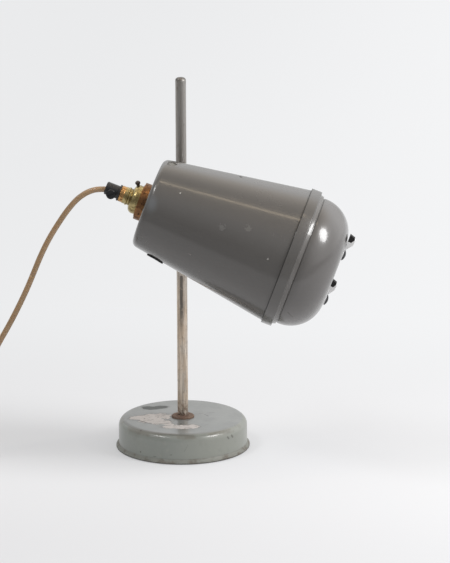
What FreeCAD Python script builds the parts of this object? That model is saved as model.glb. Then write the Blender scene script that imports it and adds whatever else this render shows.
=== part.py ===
"""Desk lamp: a round steel base, an upright rod, a sliding clamp and a tapered lamp head.

Millimetres and degrees. The origin is the middle of the base's underside, on the rod's axis, and Z points up.
The head's axis lies in front of the rod, at -Y, and points to +X and down. The head is modelled in its own
frame: Z along its axis from the rear face to the front, X upwards across it, Y towards the viewer.
"""
import FreeCAD, Part
import math
import os

from FreeCAD import Matrix, Placement, Vector

os.makedirs("parts", exist_ok=True)

# Clearances shared by all pieces
running_gap = 0.05
seat_gap = 0.1
swing_gap = 0.3
cut_overrun = 2.0

# Base
base_height = 34.0
base_body_radius = 73.5
base_lip_radius = 76.5
base_lip_height = 3.2
base_lip_lift = 0.8
base_shoulder_radius = 9.0
base_sheet = 1.2
felt_thickness = 2.0
felt_inset = 1.0
weight_disc_height = 20.0
weight_boss_radius = 26.0
weight_play = 0.6
weight_chamfer = 2.0

# Rod and what fixes it to the base
rod_radius = 6.0
rod_top = 428.0
rod_top_round = 3.5
rod_foot_depth = 27.5
foot_flange_radius = 13.0
foot_flange_height = 2.0
foot_flange_hub_radius = 8.6
foot_flange_hub_height = 0.9
rod_nut_across_flats = 19.0
rod_nut_height = 7.0
rod_washer_radius = 12.0
rod_washer_thickness = 2.0
nut_pocket_radius = 14.5

# Head, its tilt and where it hangs
head_tilt = 20.4
head_offset = 76.5
pivot_height = 292.4
pivot_setback = 29.6
rear_radius = 50.4
front_radius = 76.4
cone_length = 163.5
head_sheet = 1.2
rear_corner_radius = 7.0
cap_fit = 0.3
top_hole_radius = 4.5
top_hole_setback = 11.8
top_hole_angle = 8.0
small_hole_radius = 1.75
small_hole_setback = 86.0
vent_hole_radius = 8.0
vent_hole_setback = 29.8
vent_hole_angle = 15.0
grommet_radius = 9.8
grommet_bore = 5.5
grommet_rise = 1.5
grommet_depth = 2.4

# Front cap
cap_skirt_radius = 78.7
cap_skirt_length = 11.9
cap_skirt_round = 1.0
cap_bead_radius = 74.9
cap_bead_width = 3.0
cap_groove_radius = 72.8
cap_groove_width = 1.6
dome_corner_radius = 38.0
dome_flat_radius = 35.2
dome_undercut_share = 0.25
head_length = 220.1
window_radius = 14.5
window_glass_radius = 17.0
window_glass_thickness = 2.5
window_ring_radius = 18.6
window_ring_lip = 1.2

# Clips on the front face
clip_heights = {"upper": 23.2, "lower": -31.2}
clip_lifts = {"upper": 8.4, "lower": 7.2}
clip_reach = 24.0
clip_width = 9.0
clip_sheet = 0.9
clip_foot_radius = 6.2
clip_foot_thickness = 1.0
clip_screw_radius = 2.0
clip_screw_head_radius = 6.0
clip_screw_head_height = 2.8
clip_nut_across_flats = 6.0
clip_nut_height = 2.6
clip_arm_shares = (
    (0.2, 0.012), (0.2, 0.13), (0.283, 0.13), (0.617, 0.87), (0.858, 0.93), (0.871, 0.83), (0.704, 0.5),
    (0.721, 0.06), (0.34, 0.012),
)
clip_web_shares = ((0.333, -0.2), (0.333, 0.04), (0.633, 0.75), (0.9, 0.82), (1.2, 0.82), (1.2, -0.2))
clip_pad_shares = ((0.65, 0.06), (0.65, 0.726), (0.871, 0.797), (0.95, 0.79), (1.033, 0.06))

# Clamp on the rod
clamp_half_width = 15.0
clamp_half_height = 15.0
clamp_front = 14.5
clamp_back = 13.5
clamp_corner = 4.0
clamp_pad_length = 3.0
clamp_screw_radius = 3.0
clamp_screw_head_radius = 10.0
clamp_screw_head_length = 11.0
clamp_screw_neck = 3.0
grip_grooves = 14
grip_groove_radius = 1.1
stop_collar_radius = 13.0
stop_collar_height = 12.0
collar_screw_radius = 2.5
collar_screw_head_radius = 5.5
collar_screw_head_length = 6.5

# Tilt pivot
pivot_bolt_radius = 4.0
pivot_bolt_across_flats = 13.0
pivot_bolt_head = 5.3
pivot_thread_depth = 6.5
friction_washer_radius = 14.0
friction_washer_thickness = 2.0
saddle_radius = 15.0
inner_saddle_radius = 13.0
inner_saddle_depth = 6.6
spring_washer_radius = 9.0
spring_washer_thickness = 1.6

# Lampholder, measured backwards from the head's rear face, and how far it sits below the head's axis
holder_drop = 2.1
shade_ring_radius = 21.2
shade_ring_thickness = 8.7
shade_ring_step_radius = 18.3
shade_ring_step = 0.8
inner_ring_radius = 19.0
inner_ring_thickness = 5.0
holder_radius = 14.0
holder_wall = 1.0
holder_length = 27.0
holder_tail = 2.5
bayonet_slot_width = 3.2
bayonet_slot_depth = 11.0
bayonet_hook_angle = 22.0
holder_cap_radius = 16.3
holder_cap_rim = 2.4
holder_cap_shoulder_radius = 11.4
holder_cap_shoulder = 9.1
holder_neck_radius = 9.4
holder_neck_end = 26.6
holder_neck_bead = 0.9
holder_cap_wall = 1.1
insert_front = 5.0
insert_back = 5.5
plunger_radius = 2.1
plunger_spread = 5.5
plunger_back = 3.5
grip_collar_radius = 9.0
grip_collar_length = 5.3
grip_flange_radius = 9.1
grip_flange_thickness = 1.8
grip_radius = 7.3
grip_length = 15.1
grip_bore_radius = 2.4
grip_screw_radius = 2.6
grip_screw_head_radius = 5.3
grip_screw_head_height = 3.6
grip_screw_setback = 8.2
grip_screw_drop = 2.7
grip_screw_slot = 1.1
button_lean = 31.0
button_start = (7.2, -11.1)
button_stem_radius = 1.9
button_stem_length = 10.9
button_knob_radius = 2.9
button_knob_length = 4.3
core_radius = 1.1

# Bulb, its own size and where its cap sits
bulb_cap_radius = 11.0
bulb_cap_length = 25.0
bulb_cap_start = 9.0
bulb_pin_radius = 1.2
bulb_pin_reach = 2.4
bulb_radius = 30.0
bulb_centre = 84.0
bulb_glass_wall = 0.8
bulb_stem_radius = 5.0
bulb_stem_length = 22.0
filament_radius = 0.9
filament_span = 24.0
filament_drop = 6.0
filament_wire_radius = 0.5

# Cord and what lies at its end
cord_radius = 3.2
cord_start_depth = 6.0
coil_pitch = 7.0
coil_layer_pitch = 7.0
coil_mid_radius = 38.0
coil_turns = 6
coil_quarters = 4
coil_centre_x = -312.0
tie_thickness = 0.8
tie_width = 7.0
tie_gap = 0.35
tie_angle = 35.0
cord_bend_share = 0.45
tail_drops = ((16.0, 0.0, 0.0), (31.0, 1.5, 2.0), (46.0, 4.5, 2.0))
plug_width = 50.0
plug_length = 48.0
plug_cover_height = 15.0
plug_base_height = 8.0
plug_corner = 9.0
plug_wall = 2.4
plug_entry_radius = 5.2
plug_entry_length = 4.0
pin_width = 6.4
pin_thickness = 4.0
pin_length = 17.7
earth_pin_width = 8.0
earth_pin_length = 22.7
pin_spread = 22.2
pin_rise = 22.2
pin_centre_share = 0.22
pin_root = 5.0
plug_screw_radius = 3.6
plug_screw_length = 14.0
fuse_radius = 3.2
fuse_length = 25.4

# The cord's free stretch, chosen by hand from the photo, after the grip and down to the coil
cord_route = (
    (-81.0, -76.5, 316.4),
    (-93.3, -76.5, 313.3),
    (-105.8, -76.5, 305.0),
    (-117.0, -76.5, 292.0),
    (-127.5, -76.5, 276.6),
    (-138.5, -76.5, 258.8),
    (-148.5, -76.5, 238.6),
    (-156.8, -76.5, 218.2),
    (-165.0, -76.5, 199.0),
    (-175.0, -76.5, 178.2),
    (-186.0, -76.5, 157.2),
    (-197.2, -76.5, 138.0),
    (-207.0, -76.5, 118.3),
    (-216.0, -76.5, 98.6),
    (-224.3, -76.5, 78.8),
    (-232.8, -76.5, 59.6),
    (-243.0, -76.5, 41.2),
    (-256.5, -76.5, 24.8),
    (-274.0, -76.5, 11.8),
)

# Places worked out from the sizes above
half_angle = math.degrees(math.atan2(front_radius - rear_radius, cone_length))
cone_slope = (front_radius - rear_radius) / cone_length
felt_top = felt_thickness
base_inner_radius = base_body_radius - base_sheet
base_inner_top = base_height - base_sheet
rod_bottom = base_height - rod_foot_depth
foot_flange_top = base_height + foot_flange_height
stop_collar_top = pivot_height - clamp_half_height
friction_front = clamp_front + friction_washer_thickness
pivot_cone_radius = rear_radius + pivot_setback * cone_slope
wall_across = head_sheet / math.cos(math.radians(half_angle))
inner_saddle_face = head_offset - pivot_cone_radius + inner_saddle_depth
dome_centre = head_length - dome_corner_radius
clip_face = head_length
cap_inner_skirt = cap_skirt_radius - head_sheet
spigot_length = cap_skirt_length - head_sheet
spigot_radius = cap_inner_skirt - cap_fit
coil_lift = tie_thickness + tie_gap
coil_height = cord_radius + coil_lift
coil_outer_radius = coil_mid_radius + coil_pitch * coil_turns / 4
coil_centre = Vector(coil_centre_x, coil_outer_radius - head_offset, coil_height)


def turned(start, *steps):
    """A solid turned about Z from (radius, height) corners. A step of two pairs is an arc by its middle and end."""
    edges = []
    here = Vector(start[0], 0, start[1])
    first = here
    for step in steps + (start,):
        if isinstance(step[0], tuple):
            middle = Vector(step[0][0], 0, step[0][1])
            end = Vector(step[1][0], 0, step[1][1])
            edges.append(Part.Arc(here, middle, end).toShape())
        else:
            end = Vector(step[0], 0, step[1])
            if end.distanceToPoint(here) > 0:
                edges.append(Part.makeLine(here, end))
        here = end
    assert here.distanceToPoint(first) == 0
    return Part.Face(Part.Wire(edges)).revolve(Vector(0, 0, 0), Vector(0, 0, 1), 360)


def on_arc(centre, radius, angle):
    """The (radius, height) point at an angle from the radial direction, on an arc in the turning plane."""
    turn = math.radians(angle)
    return (centre[0] + radius * math.cos(turn), centre[1] + radius * math.sin(turn))


def ring(outer, inner, low, high):
    """A plain ring about Z."""
    body = Part.makeCylinder(outer, high - low, Vector(0, 0, low))
    return body.cut(Part.makeCylinder(inner, high - low, Vector(0, 0, low)))


def hexagon(across_flats, low, high):
    """A hexagonal prism about Z."""
    corner = across_flats / math.sqrt(3)
    sides = 6
    points = [
        Vector(corner * math.cos(2 * math.pi * k / sides), corner * math.sin(2 * math.pi * k / sides), low)
        for k in range(sides + 1)
    ]
    return Part.Face(Part.makePolygon(points)).extrude(Vector(0, 0, high - low))


def rounded_box(width, depth, low, high, corner):
    """A box about Z with its upright edges rounded."""
    body = Part.makeBox(width, depth, high - low, Vector(-width / 2, -depth / 2, low))
    upright = [e for e in body.Edges if abs(e.tangentAt(e.FirstParameter).z) > 0.5]
    return body.makeFillet(corner, upright)


def grooved_knob(radius, low, high):
    """A thumbscrew's head about Z, with grip grooves round it."""
    body = Part.makeCylinder(radius, high - low, Vector(0, 0, low))
    body = body.makeChamfer(grip_groove_radius / 2, body.Edges)
    for k in range(grip_grooves):
        turn = 2 * math.pi * k / grip_grooves
        place = Vector(radius * math.cos(turn), radius * math.sin(turn), low - cut_overrun)
        body = body.cut(Part.makeCylinder(grip_groove_radius, high - low + 2 * cut_overrun, place))
    return body


def placed(shape, origin, x_way, z_way):
    """The shape moved so that its own Z points along z_way and its X along x_way."""
    z_axis = Vector(*z_way).normalize()
    x_axis = Vector(*x_way).normalize()
    y_axis = z_axis.cross(x_axis)
    matrix = Matrix(
        x_axis.x, y_axis.x, z_axis.x, origin[0],
        x_axis.y, y_axis.y, z_axis.y, origin[1],
        x_axis.z, y_axis.z, z_axis.z, origin[2],
        0, 0, 0, 1,
    )
    moved = shape.copy()
    moved.Placement = Placement(matrix).multiply(shape.Placement)
    return moved


def head_point(across, side, along):
    """Where a point of the head's own frame lies in the lamp's frame."""
    tilt = math.radians(head_tilt)
    axis = Vector(math.cos(tilt), 0, -math.sin(tilt))
    up = Vector(math.sin(tilt), 0, math.cos(tilt))
    pivot = Vector(0, -head_offset, pivot_height)
    return pivot + axis * (along - pivot_setback) + up * across + Vector(0, -side, 0)


def on_head(shape):
    """A piece of the head's own frame, put in its place on the lamp."""
    tilt = math.radians(head_tilt)
    origin = head_point(0, 0, 0)
    return placed(shape, origin, (math.sin(tilt), 0, math.cos(tilt)), (math.cos(tilt), 0, -math.sin(tilt)))


def from_pivot(shape):
    """A piece turned about the tilt pivot's axis: its Z runs from the rod's axis towards the head."""
    return placed(shape, (0, 0, pivot_height), (1, 0, 0), (0, -1, 0))


def from_back(shape, height):
    """A piece whose Z runs from the rod's axis to the back of the lamp."""
    return placed(shape, (0, 0, height), (1, 0, 0), (0, 1, 0))


def cone_body(shrink, low, high, corner):
    """The housing's filled outline, drawn in by a wall, with its rear corner rounded."""
    across = shrink / math.cos(math.radians(half_angle))
    low_radius = rear_radius + low * cone_slope - across
    high_radius = rear_radius + high * cone_slope - across
    body = Part.makeCone(low_radius, high_radius, high - low, Vector(0, 0, low))
    if corner:
        rear = [e for e in body.Edges if abs(e.BoundBox.ZMax - low) < seat_gap and e.BoundBox.ZLength < seat_gap]
        body = body.makeFillet(corner, rear)
    return body


# Base and rod
def base_cover():
    mid_low = (base_body_radius + base_lip_radius) / 2
    shoulder = (base_body_radius - base_shoulder_radius, base_height - base_shoulder_radius)
    inner_shoulder = base_shoulder_radius - base_sheet
    lip_top = base_lip_lift + base_lip_height
    body = turned(
        (base_lip_radius, base_lip_lift),
        (base_lip_radius, base_lip_lift + base_sheet),
        (mid_low, lip_top - base_sheet),
        (base_body_radius, lip_top + base_sheet),
        (base_body_radius, shoulder[1]),
        (on_arc(shoulder, base_shoulder_radius, 45), (shoulder[0], base_height)),
        (rod_radius + running_gap, base_height),
        (rod_radius + running_gap, base_inner_top),
        (shoulder[0], base_inner_top),
        (on_arc(shoulder, inner_shoulder, 45), (base_inner_radius, shoulder[1])),
        (base_inner_radius, lip_top),
        (base_inner_radius + base_sheet, base_lip_lift),
    )
    return body


def base_weight():
    outer = base_inner_radius - weight_play
    low = felt_top
    high = low + weight_disc_height
    nut_roof = rod_bottom + rod_nut_height + rod_washer_thickness
    return turned(
        (nut_pocket_radius, low),
        (outer - weight_chamfer, low),
        (outer, low + weight_chamfer),
        (outer, high - weight_chamfer),
        (outer - weight_chamfer, high),
        (weight_boss_radius + weight_chamfer, high),
        (weight_boss_radius, high + weight_chamfer),
        (weight_boss_radius, base_inner_top),
        (rod_radius + running_gap, base_inner_top),
        (rod_radius + running_gap, nut_roof),
        (nut_pocket_radius, nut_roof),
    )


def base_felt():
    outer = base_inner_radius - felt_inset
    return Part.makeCylinder(outer, felt_thickness)


def rod():
    centre = (rod_radius - rod_top_round, rod_top - rod_top_round)
    return turned(
        (0, rod_bottom),
        (rod_radius, rod_bottom),
        (rod_radius, centre[1]),
        (on_arc(centre, rod_top_round, 45), (centre[0], rod_top)),
        (0, rod_top),
    )


def foot_flange():
    bevel = foot_flange_height / 2
    return turned(
        (rod_radius + running_gap, base_height),
        (foot_flange_radius, base_height),
        (foot_flange_radius, base_height + bevel),
        (foot_flange_radius - bevel, foot_flange_top),
        (foot_flange_hub_radius, foot_flange_top),
        (foot_flange_hub_radius - bevel, foot_flange_top + foot_flange_hub_height),
        (rod_radius + running_gap, foot_flange_top + foot_flange_hub_height),
    )


def rod_washer():
    low = rod_bottom + rod_nut_height
    return ring(rod_washer_radius, rod_radius + running_gap, low, low + rod_washer_thickness)


def rod_nut():
    body = hexagon(rod_nut_across_flats, rod_bottom, rod_bottom + rod_nut_height)
    bore = Part.makeCylinder(rod_radius + running_gap, rod_nut_height, Vector(0, 0, rod_bottom))
    return body.cut(bore)


# Clamp and stop collar
def stop_collar():
    low = stop_collar_top - stop_collar_height
    body = ring(stop_collar_radius, rod_radius + running_gap, low, stop_collar_top)
    rim = [e for e in body.Edges if e.BoundBox.XLength > 2 * rod_radius + 2 and e.BoundBox.ZLength < seat_gap]
    body = body.makeChamfer(rod_top_round / 4, rim)
    bore = Part.makeCylinder(collar_screw_radius + running_gap, stop_collar_radius + cut_overrun)
    return body.cut(from_back(bore, stop_collar_top - stop_collar_height / 2))


def thumbscrew(radius, start, neck_start, head_radius, head_length):
    """A thumbscrew about Z: a shank from start, a neck and a grooved head."""
    neck = neck_start + clamp_screw_neck
    shank = Part.makeCylinder(radius, neck - start, Vector(0, 0, start))
    return shank.fuse(grooved_knob(head_radius, neck, neck + head_length)).removeSplitter()


def collar_screw():
    start = rod_radius + seat_gap
    body = thumbscrew(
        collar_screw_radius, start, stop_collar_radius, collar_screw_head_radius, collar_screw_head_length
    )
    return from_back(body, stop_collar_top - stop_collar_height / 2)


def clamp_block():
    low = pivot_height - clamp_half_height
    high = pivot_height + clamp_half_height
    body = rounded_box(2 * clamp_half_width, clamp_front + clamp_back, low, high, clamp_corner)
    body.translate(Vector(0, (clamp_back - clamp_front) / 2, 0))
    rod_hole = Part.makeCylinder(
        rod_radius + running_gap, high - low + 2 * cut_overrun, Vector(0, 0, low - cut_overrun)
    )
    screw_hole = Part.makeCylinder(clamp_screw_radius + running_gap, clamp_back + cut_overrun)
    bolt_hole = Part.makeCylinder(
        pivot_bolt_radius + running_gap, pivot_thread_depth + cut_overrun,
        Vector(0, 0, clamp_front - pivot_thread_depth),
    )
    return body.cut(rod_hole).cut(from_back(screw_hole, pivot_height)).cut(from_pivot(bolt_hole))


def clamp_pad():
    start = rod_radius + running_gap
    body = Part.makeCylinder(clamp_screw_radius, clamp_pad_length + rod_radius)
    body = from_back(body, pivot_height)
    return body.cut(Part.makeCylinder(start, 2 * clamp_half_height, Vector(0, 0, pivot_height - clamp_half_height)))


def clamp_screw():
    start = rod_radius + clamp_pad_length
    body = thumbscrew(
        clamp_screw_radius, start, clamp_back, clamp_screw_head_radius, clamp_screw_head_length
    )
    return from_back(body, pivot_height)


# Tilt pivot
def friction_washer():
    return from_pivot(ring(friction_washer_radius, pivot_bolt_radius + running_gap, clamp_front, friction_front))


def pivot_bolt():
    start = clamp_front - pivot_thread_depth
    under_head = inner_saddle_face + spring_washer_thickness
    shank = Part.makeCylinder(pivot_bolt_radius, under_head - start, Vector(0, 0, start))
    head = hexagon(pivot_bolt_across_flats, under_head, under_head + pivot_bolt_head)
    return from_pivot(shank.fuse(head))


def spring_washer():
    high = inner_saddle_face + spring_washer_thickness
    return from_pivot(ring(spring_washer_radius, pivot_bolt_radius + running_gap, inner_saddle_face, high))


def pivot_saddle():
    depth = head_offset - friction_front
    body = ring(saddle_radius, pivot_bolt_radius + running_gap, friction_front, friction_front + depth)
    return from_pivot(body).cut(on_head(cone_body(-seat_gap, 0, cone_length, 0)))


def inner_saddle():
    depth = inner_saddle_face - friction_front
    body = from_pivot(ring(inner_saddle_radius, pivot_bolt_radius + running_gap, friction_front, friction_front + depth))
    return body.common(on_head(cone_body(head_sheet + 2 * seat_gap, head_sheet, cone_length, 0)))


# Housing and front cap
def spoke(radius, setback, angle):
    """A cylinder that starts on the head's axis and runs out through the wall at an angle from the top."""
    turn = math.radians(angle)
    way = Vector(math.cos(turn), math.sin(turn), 0)
    return Part.makeCylinder(radius, front_radius + cut_overrun, Vector(0, 0, setback), way)


def lamp_housing():
    outer = cone_body(0, 0, cone_length, rear_corner_radius)
    spigot_end = cone_length + spigot_length
    spigot = Part.makeCylinder(spigot_radius, spigot_length, Vector(0, 0, cone_length))
    outer = outer.fuse(spigot)
    inner = cone_body(head_sheet, head_sheet, cone_length, rear_corner_radius - head_sheet)
    inner_front = front_radius - wall_across
    bore = Part.makeCylinder(inner_front, spigot_end - cone_length, Vector(0, 0, cone_length))
    shell = outer.cut(inner).cut(bore)
    through = head_sheet + 2 * cut_overrun
    shell = shell.cut(Part.makeCylinder(holder_radius + running_gap, through, Vector(-holder_drop, 0, -cut_overrun)))
    holes = (
        (top_hole_radius, top_hole_setback, top_hole_angle),
        (small_hole_radius, small_hole_setback, 0),
        (vent_hole_radius, vent_hole_setback, 180 - vent_hole_angle),
        (pivot_bolt_radius + running_gap, pivot_setback, -90),
    )
    for radius, setback, angle in holes:
        shell = shell.cut(spoke(radius, setback, angle))
    return on_head(shell)


def vent_grommet():
    """A rubber ring in the vent hole, with a flange on each side of the sheet that follows its curve."""
    angle = 180 - vent_hole_angle
    body = spoke(grommet_radius, vent_hole_setback, angle)
    body = body.common(cone_body(-grommet_rise, 0, cone_length, 0)).cut(cone_body(grommet_depth, 0, cone_length, 0))
    groove = spoke(grommet_radius + cut_overrun, vent_hole_setback, angle)
    groove = groove.cut(spoke(vent_hole_radius - running_gap, vent_hole_setback, angle))
    groove = groove.common(cone_body(-seat_gap, 0, cone_length, 0))
    groove = groove.cut(cone_body(head_sheet + seat_gap, 0, cone_length, 0))
    return on_head(body.cut(groove).cut(spoke(grommet_bore, vent_hole_setback, angle)))


def front_cap():
    skirt_end = cone_length + cap_skirt_length
    round_centre = (cap_skirt_radius - cap_skirt_round, skirt_end - cap_skirt_round)
    bead_low = skirt_end + head_sheet
    bead_high = bead_low + cap_bead_width
    bead_foot = cap_bead_radius - head_sheet
    groove_end = bead_high + cap_groove_width
    dome = (dome_flat_radius, dome_centre)
    inner_dome = dome_corner_radius - head_sheet
    dome_low = max(groove_end + seat_gap - dome_centre, -dome_undercut_share * dome_corner_radius)
    start_angle = math.degrees(math.asin(dome_low / dome_corner_radius))
    dome_start = on_arc(dome, dome_corner_radius, start_angle)
    inner_start = on_arc(dome, inner_dome, start_angle)
    body = turned(
        (cap_inner_skirt, cone_length),
        (cap_skirt_radius, cone_length),
        (cap_skirt_radius, round_centre[1]),
        (on_arc(round_centre, cap_skirt_round, 45), (round_centre[0], skirt_end)),
        (bead_foot, bead_low),
        ((cap_bead_radius, (bead_low + bead_high) / 2), (bead_foot, bead_high)),
        (cap_groove_radius, groove_end),
        dome_start,
        (on_arc(dome, dome_corner_radius, (start_angle + 90) / 2), (dome_flat_radius, head_length)),
        (window_radius, head_length),
        (window_radius, head_length - head_sheet),
        (dome_flat_radius, head_length - head_sheet),
        (on_arc(dome, inner_dome, (start_angle + 90) / 2), inner_start),
        (inner_start[0], bead_low),
        (cap_inner_skirt - 2 * head_sheet, skirt_end - head_sheet),
        (cap_inner_skirt, skirt_end - head_sheet),
    )
    for height in clip_heights.values():
        place = Vector(height, 0, head_length - dome_corner_radius)
        body = body.cut(Part.makeCylinder(clip_screw_radius + running_gap, dome_corner_radius + cut_overrun, place))
    return on_head(body)


def window_glass():
    high = head_length - head_sheet
    return on_head(Part.makeCylinder(window_glass_radius, window_glass_thickness, Vector(0, 0, high - window_glass_thickness)))


def window_ring():
    high = head_length - head_sheet
    low = high - window_glass_thickness
    return on_head(turned(
        (window_ring_radius, high),
        (window_ring_radius, low - window_ring_lip),
        (window_radius, low - window_ring_lip),
        (window_radius, low),
        (window_glass_radius + seat_gap, low),
        (window_glass_radius + seat_gap, high),
    ))


# Clips
def clip_side(shares, where, width):
    """A clip's side outline, given as shares of its reach and lift, drawn across its width."""
    points = [
        Vector(clip_heights[where] + x * clip_reach, -width / 2, clip_face + z * clip_lifts[where])
        for x, z in shares
    ]
    return Part.Face(Part.makePolygon(points + points[:1])).extrude(Vector(0, width, 0))


def clip_arm(where):
    height = clip_heights[where]
    foot = ring(clip_foot_radius, clip_screw_radius + running_gap, 0, clip_foot_thickness)
    foot.translate(Vector(height, 0, clip_face + seat_gap))
    arm = clip_side(clip_arm_shares, where, clip_width)
    head_space = Part.makeCylinder(
        clip_screw_radius + running_gap, 2 * clip_foot_thickness, Vector(height, 0, clip_face)
    )
    web = clip_side(clip_web_shares, where, clip_width - 2 * clip_sheet)
    return on_head(arm.cut(web).fuse(foot).cut(head_space).removeSplitter())


def clip_pad(where):
    width = clip_width - 2 * clip_sheet - 2 * seat_gap
    return on_head(clip_side(clip_pad_shares, where, width))


def clip_screw(height):
    seat = clip_face + seat_gap + clip_foot_thickness
    tip = head_length - head_sheet - swing_gap - clip_nut_height - seat_gap
    edge = clip_screw_head_height / 4
    rise = clip_screw_head_height - edge
    ball = (clip_screw_head_radius**2 + rise**2) / (2 * rise)
    centre = (0, seat + clip_screw_head_height - ball)
    start_angle = math.degrees(math.asin((ball - rise) / ball))
    body = turned(
        (0, tip),
        (clip_screw_radius, tip),
        (clip_screw_radius, seat),
        (clip_screw_head_radius, seat),
        (clip_screw_head_radius, seat + edge),
        (on_arc(centre, ball, (start_angle + 90) / 2), (0, seat + clip_screw_head_height)),
    )
    body.translate(Vector(height, 0, 0))
    return on_head(body)


def clip_nut(height):
    high = head_length - head_sheet - swing_gap
    body = hexagon(clip_nut_across_flats, high - clip_nut_height, high)
    bore = Part.makeCylinder(clip_screw_radius + running_gap, clip_nut_height, Vector(0, 0, high - clip_nut_height))
    body = body.cut(bore)
    body.translate(Vector(height, 0, 0))
    return on_head(body)


# Lampholder
def on_holder(shape):
    """A lampholder or bulb piece from its own axis to its place in the head."""
    shape.translate(Vector(-holder_drop, 0, 0))
    return on_head(shape)


def shade_ring():
    back = -shade_ring_thickness
    return on_holder(turned(
        (holder_radius + running_gap, 0),
        (shade_ring_radius - seat_gap, 0),
        (shade_ring_radius, back / 2),
        (shade_ring_radius - seat_gap, back),
        (shade_ring_step_radius, back),
        (shade_ring_step_radius, back - shade_ring_step),
        (holder_radius + running_gap, back - shade_ring_step),
    ))


def inner_ring():
    return on_holder(ring(
        inner_ring_radius, holder_radius + running_gap, head_sheet, head_sheet + inner_ring_thickness
    ))


def holder_back():
    return -shade_ring_thickness - shade_ring_step


def holder_body():
    low = holder_back() - holder_tail
    body = ring(holder_radius, holder_radius - holder_wall, low, holder_length)
    hooks = 3
    for side in (0, 180):
        for k in range(hooks + 1):
            depth = bayonet_slot_depth + cut_overrun if k == 0 else bayonet_slot_width
            slot = Part.makeBox(
                holder_radius + cut_overrun, bayonet_slot_width, depth,
                Vector(0, -bayonet_slot_width / 2, holder_length - bayonet_slot_depth),
            )
            slot.rotate(Vector(0, 0, 0), Vector(0, 0, 1), side + 90 + bayonet_hook_angle * k / hooks)
            body = body.cut(slot)
    return on_holder(body)


def holder_cap():
    back = holder_back()
    shoulder_z = back - holder_cap_shoulder
    end = -holder_neck_end
    inner = holder_cap_radius - holder_cap_wall
    thread = holder_radius + running_gap
    bulge = (holder_cap_radius - holder_cap_shoulder_radius) * 0.29
    middle = (holder_cap_radius - bulge, (back - holder_cap_rim + shoulder_z) / 2 - bulge)
    inner_middle = (middle[0] - holder_cap_wall, middle[1] + holder_cap_wall / 2)
    bead = holder_neck_radius + holder_neck_bead
    neck = holder_neck_radius - holder_cap_wall
    third = (shoulder_z - end) / 3
    body = turned(
        (thread, back),
        (holder_cap_radius, back),
        (holder_cap_radius, back - holder_cap_rim),
        (middle, (holder_cap_shoulder_radius, shoulder_z)),
        (holder_neck_radius, shoulder_z - holder_neck_bead),
        (holder_neck_radius, shoulder_z - third),
        (bead, shoulder_z - third - holder_neck_bead),
        (bead, shoulder_z - 2 * third + holder_neck_bead),
        (holder_neck_radius, shoulder_z - 2 * third),
        (holder_neck_radius, end),
        (neck, end),
        (neck, shoulder_z),
        (holder_cap_shoulder_radius - holder_cap_wall, shoulder_z + holder_cap_wall),
        (inner_middle, (inner, back - holder_cap_rim)),
        (thread, back - holder_cap_rim / 2),
    )
    hole = button_rod(button_stem_radius + running_gap, 0, 2 * button_stem_length)
    return on_holder(body.cut(hole))


def holder_insert():
    radius = holder_radius - holder_wall - running_gap
    body = Part.makeCylinder(radius, insert_front + insert_back, Vector(0, 0, -insert_back))
    for side in (-plunger_spread, plunger_spread):
        hole = Part.makeCylinder(
            plunger_radius + running_gap, insert_front + insert_back + 2 * cut_overrun,
            Vector(0, side, -insert_back - cut_overrun),
        )
        body = body.cut(hole)
    return on_holder(body)


def contact_plunger(side):
    length = bulb_cap_start + plunger_back
    body = Part.makeCylinder(plunger_radius, length, Vector(0, side, -plunger_back))
    return on_holder(body)


def cord_core(side):
    low = grip_front()
    return on_holder(Part.makeCylinder(core_radius, -insert_back - low, Vector(0, side, low)))


def button_rod(radius, start, length):
    lean = math.radians(button_lean)
    way = Vector(math.cos(lean), 0, -math.sin(lean))
    place = Vector(button_start[0], 0, button_start[1]) + way * start
    return Part.makeCylinder(radius, length, place, way)


def switch_button():
    stem = button_rod(button_stem_radius, 0, button_stem_length)
    knob = button_rod(button_knob_radius, button_stem_length, button_knob_length)
    ends = [e for e in knob.Edges if e.Length < 2 * math.pi * button_knob_radius + 1 and e.Closed]
    knob = knob.makeFillet(button_knob_radius / 4, ends)
    return on_holder(stem.fuse(knob))


def grip_front():
    return -holder_neck_end - grip_collar_length


def grip_collar():
    end = grip_front()
    inner = holder_neck_radius - holder_cap_wall
    edge = holder_neck_bead
    return on_holder(turned(
        (inner, -holder_neck_end),
        (holder_neck_radius, -holder_neck_end),
        (grip_collar_radius, -holder_neck_end - edge),
        (grip_collar_radius, end + edge),
        (holder_neck_radius - edge, end),
        (inner, end),
    ))


def cord_grip():
    front = grip_front()
    flange = front - grip_flange_thickness
    end = flange - grip_length
    bevel = grip_flange_thickness / 2
    body = turned(
        (0, front),
        (grip_flange_radius, front),
        (grip_flange_radius, flange),
        (grip_radius, flange),
        (grip_radius, end + bevel),
        (grip_radius - bevel, end),
        (0, end),
    )
    start = cord_start()
    seat = Part.makeCylinder(cord_radius + running_gap, 2 * grip_length, start, Vector(*cord_route[0]) - start)
    bore_end = end + cord_start_depth - bevel
    bore = Part.makeCylinder(grip_bore_radius, front - bore_end, Vector(0, 0, bore_end))
    hole = Part.makeCylinder(
        grip_screw_radius + running_gap, grip_radius + cut_overrun,
        Vector(-grip_screw_drop, grip_bore_radius / 2, end + grip_screw_setback), Vector(0, 1, 0),
    )
    return on_holder(body).cut(seat).cut(on_holder(bore)).cut(on_holder(hole))


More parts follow.
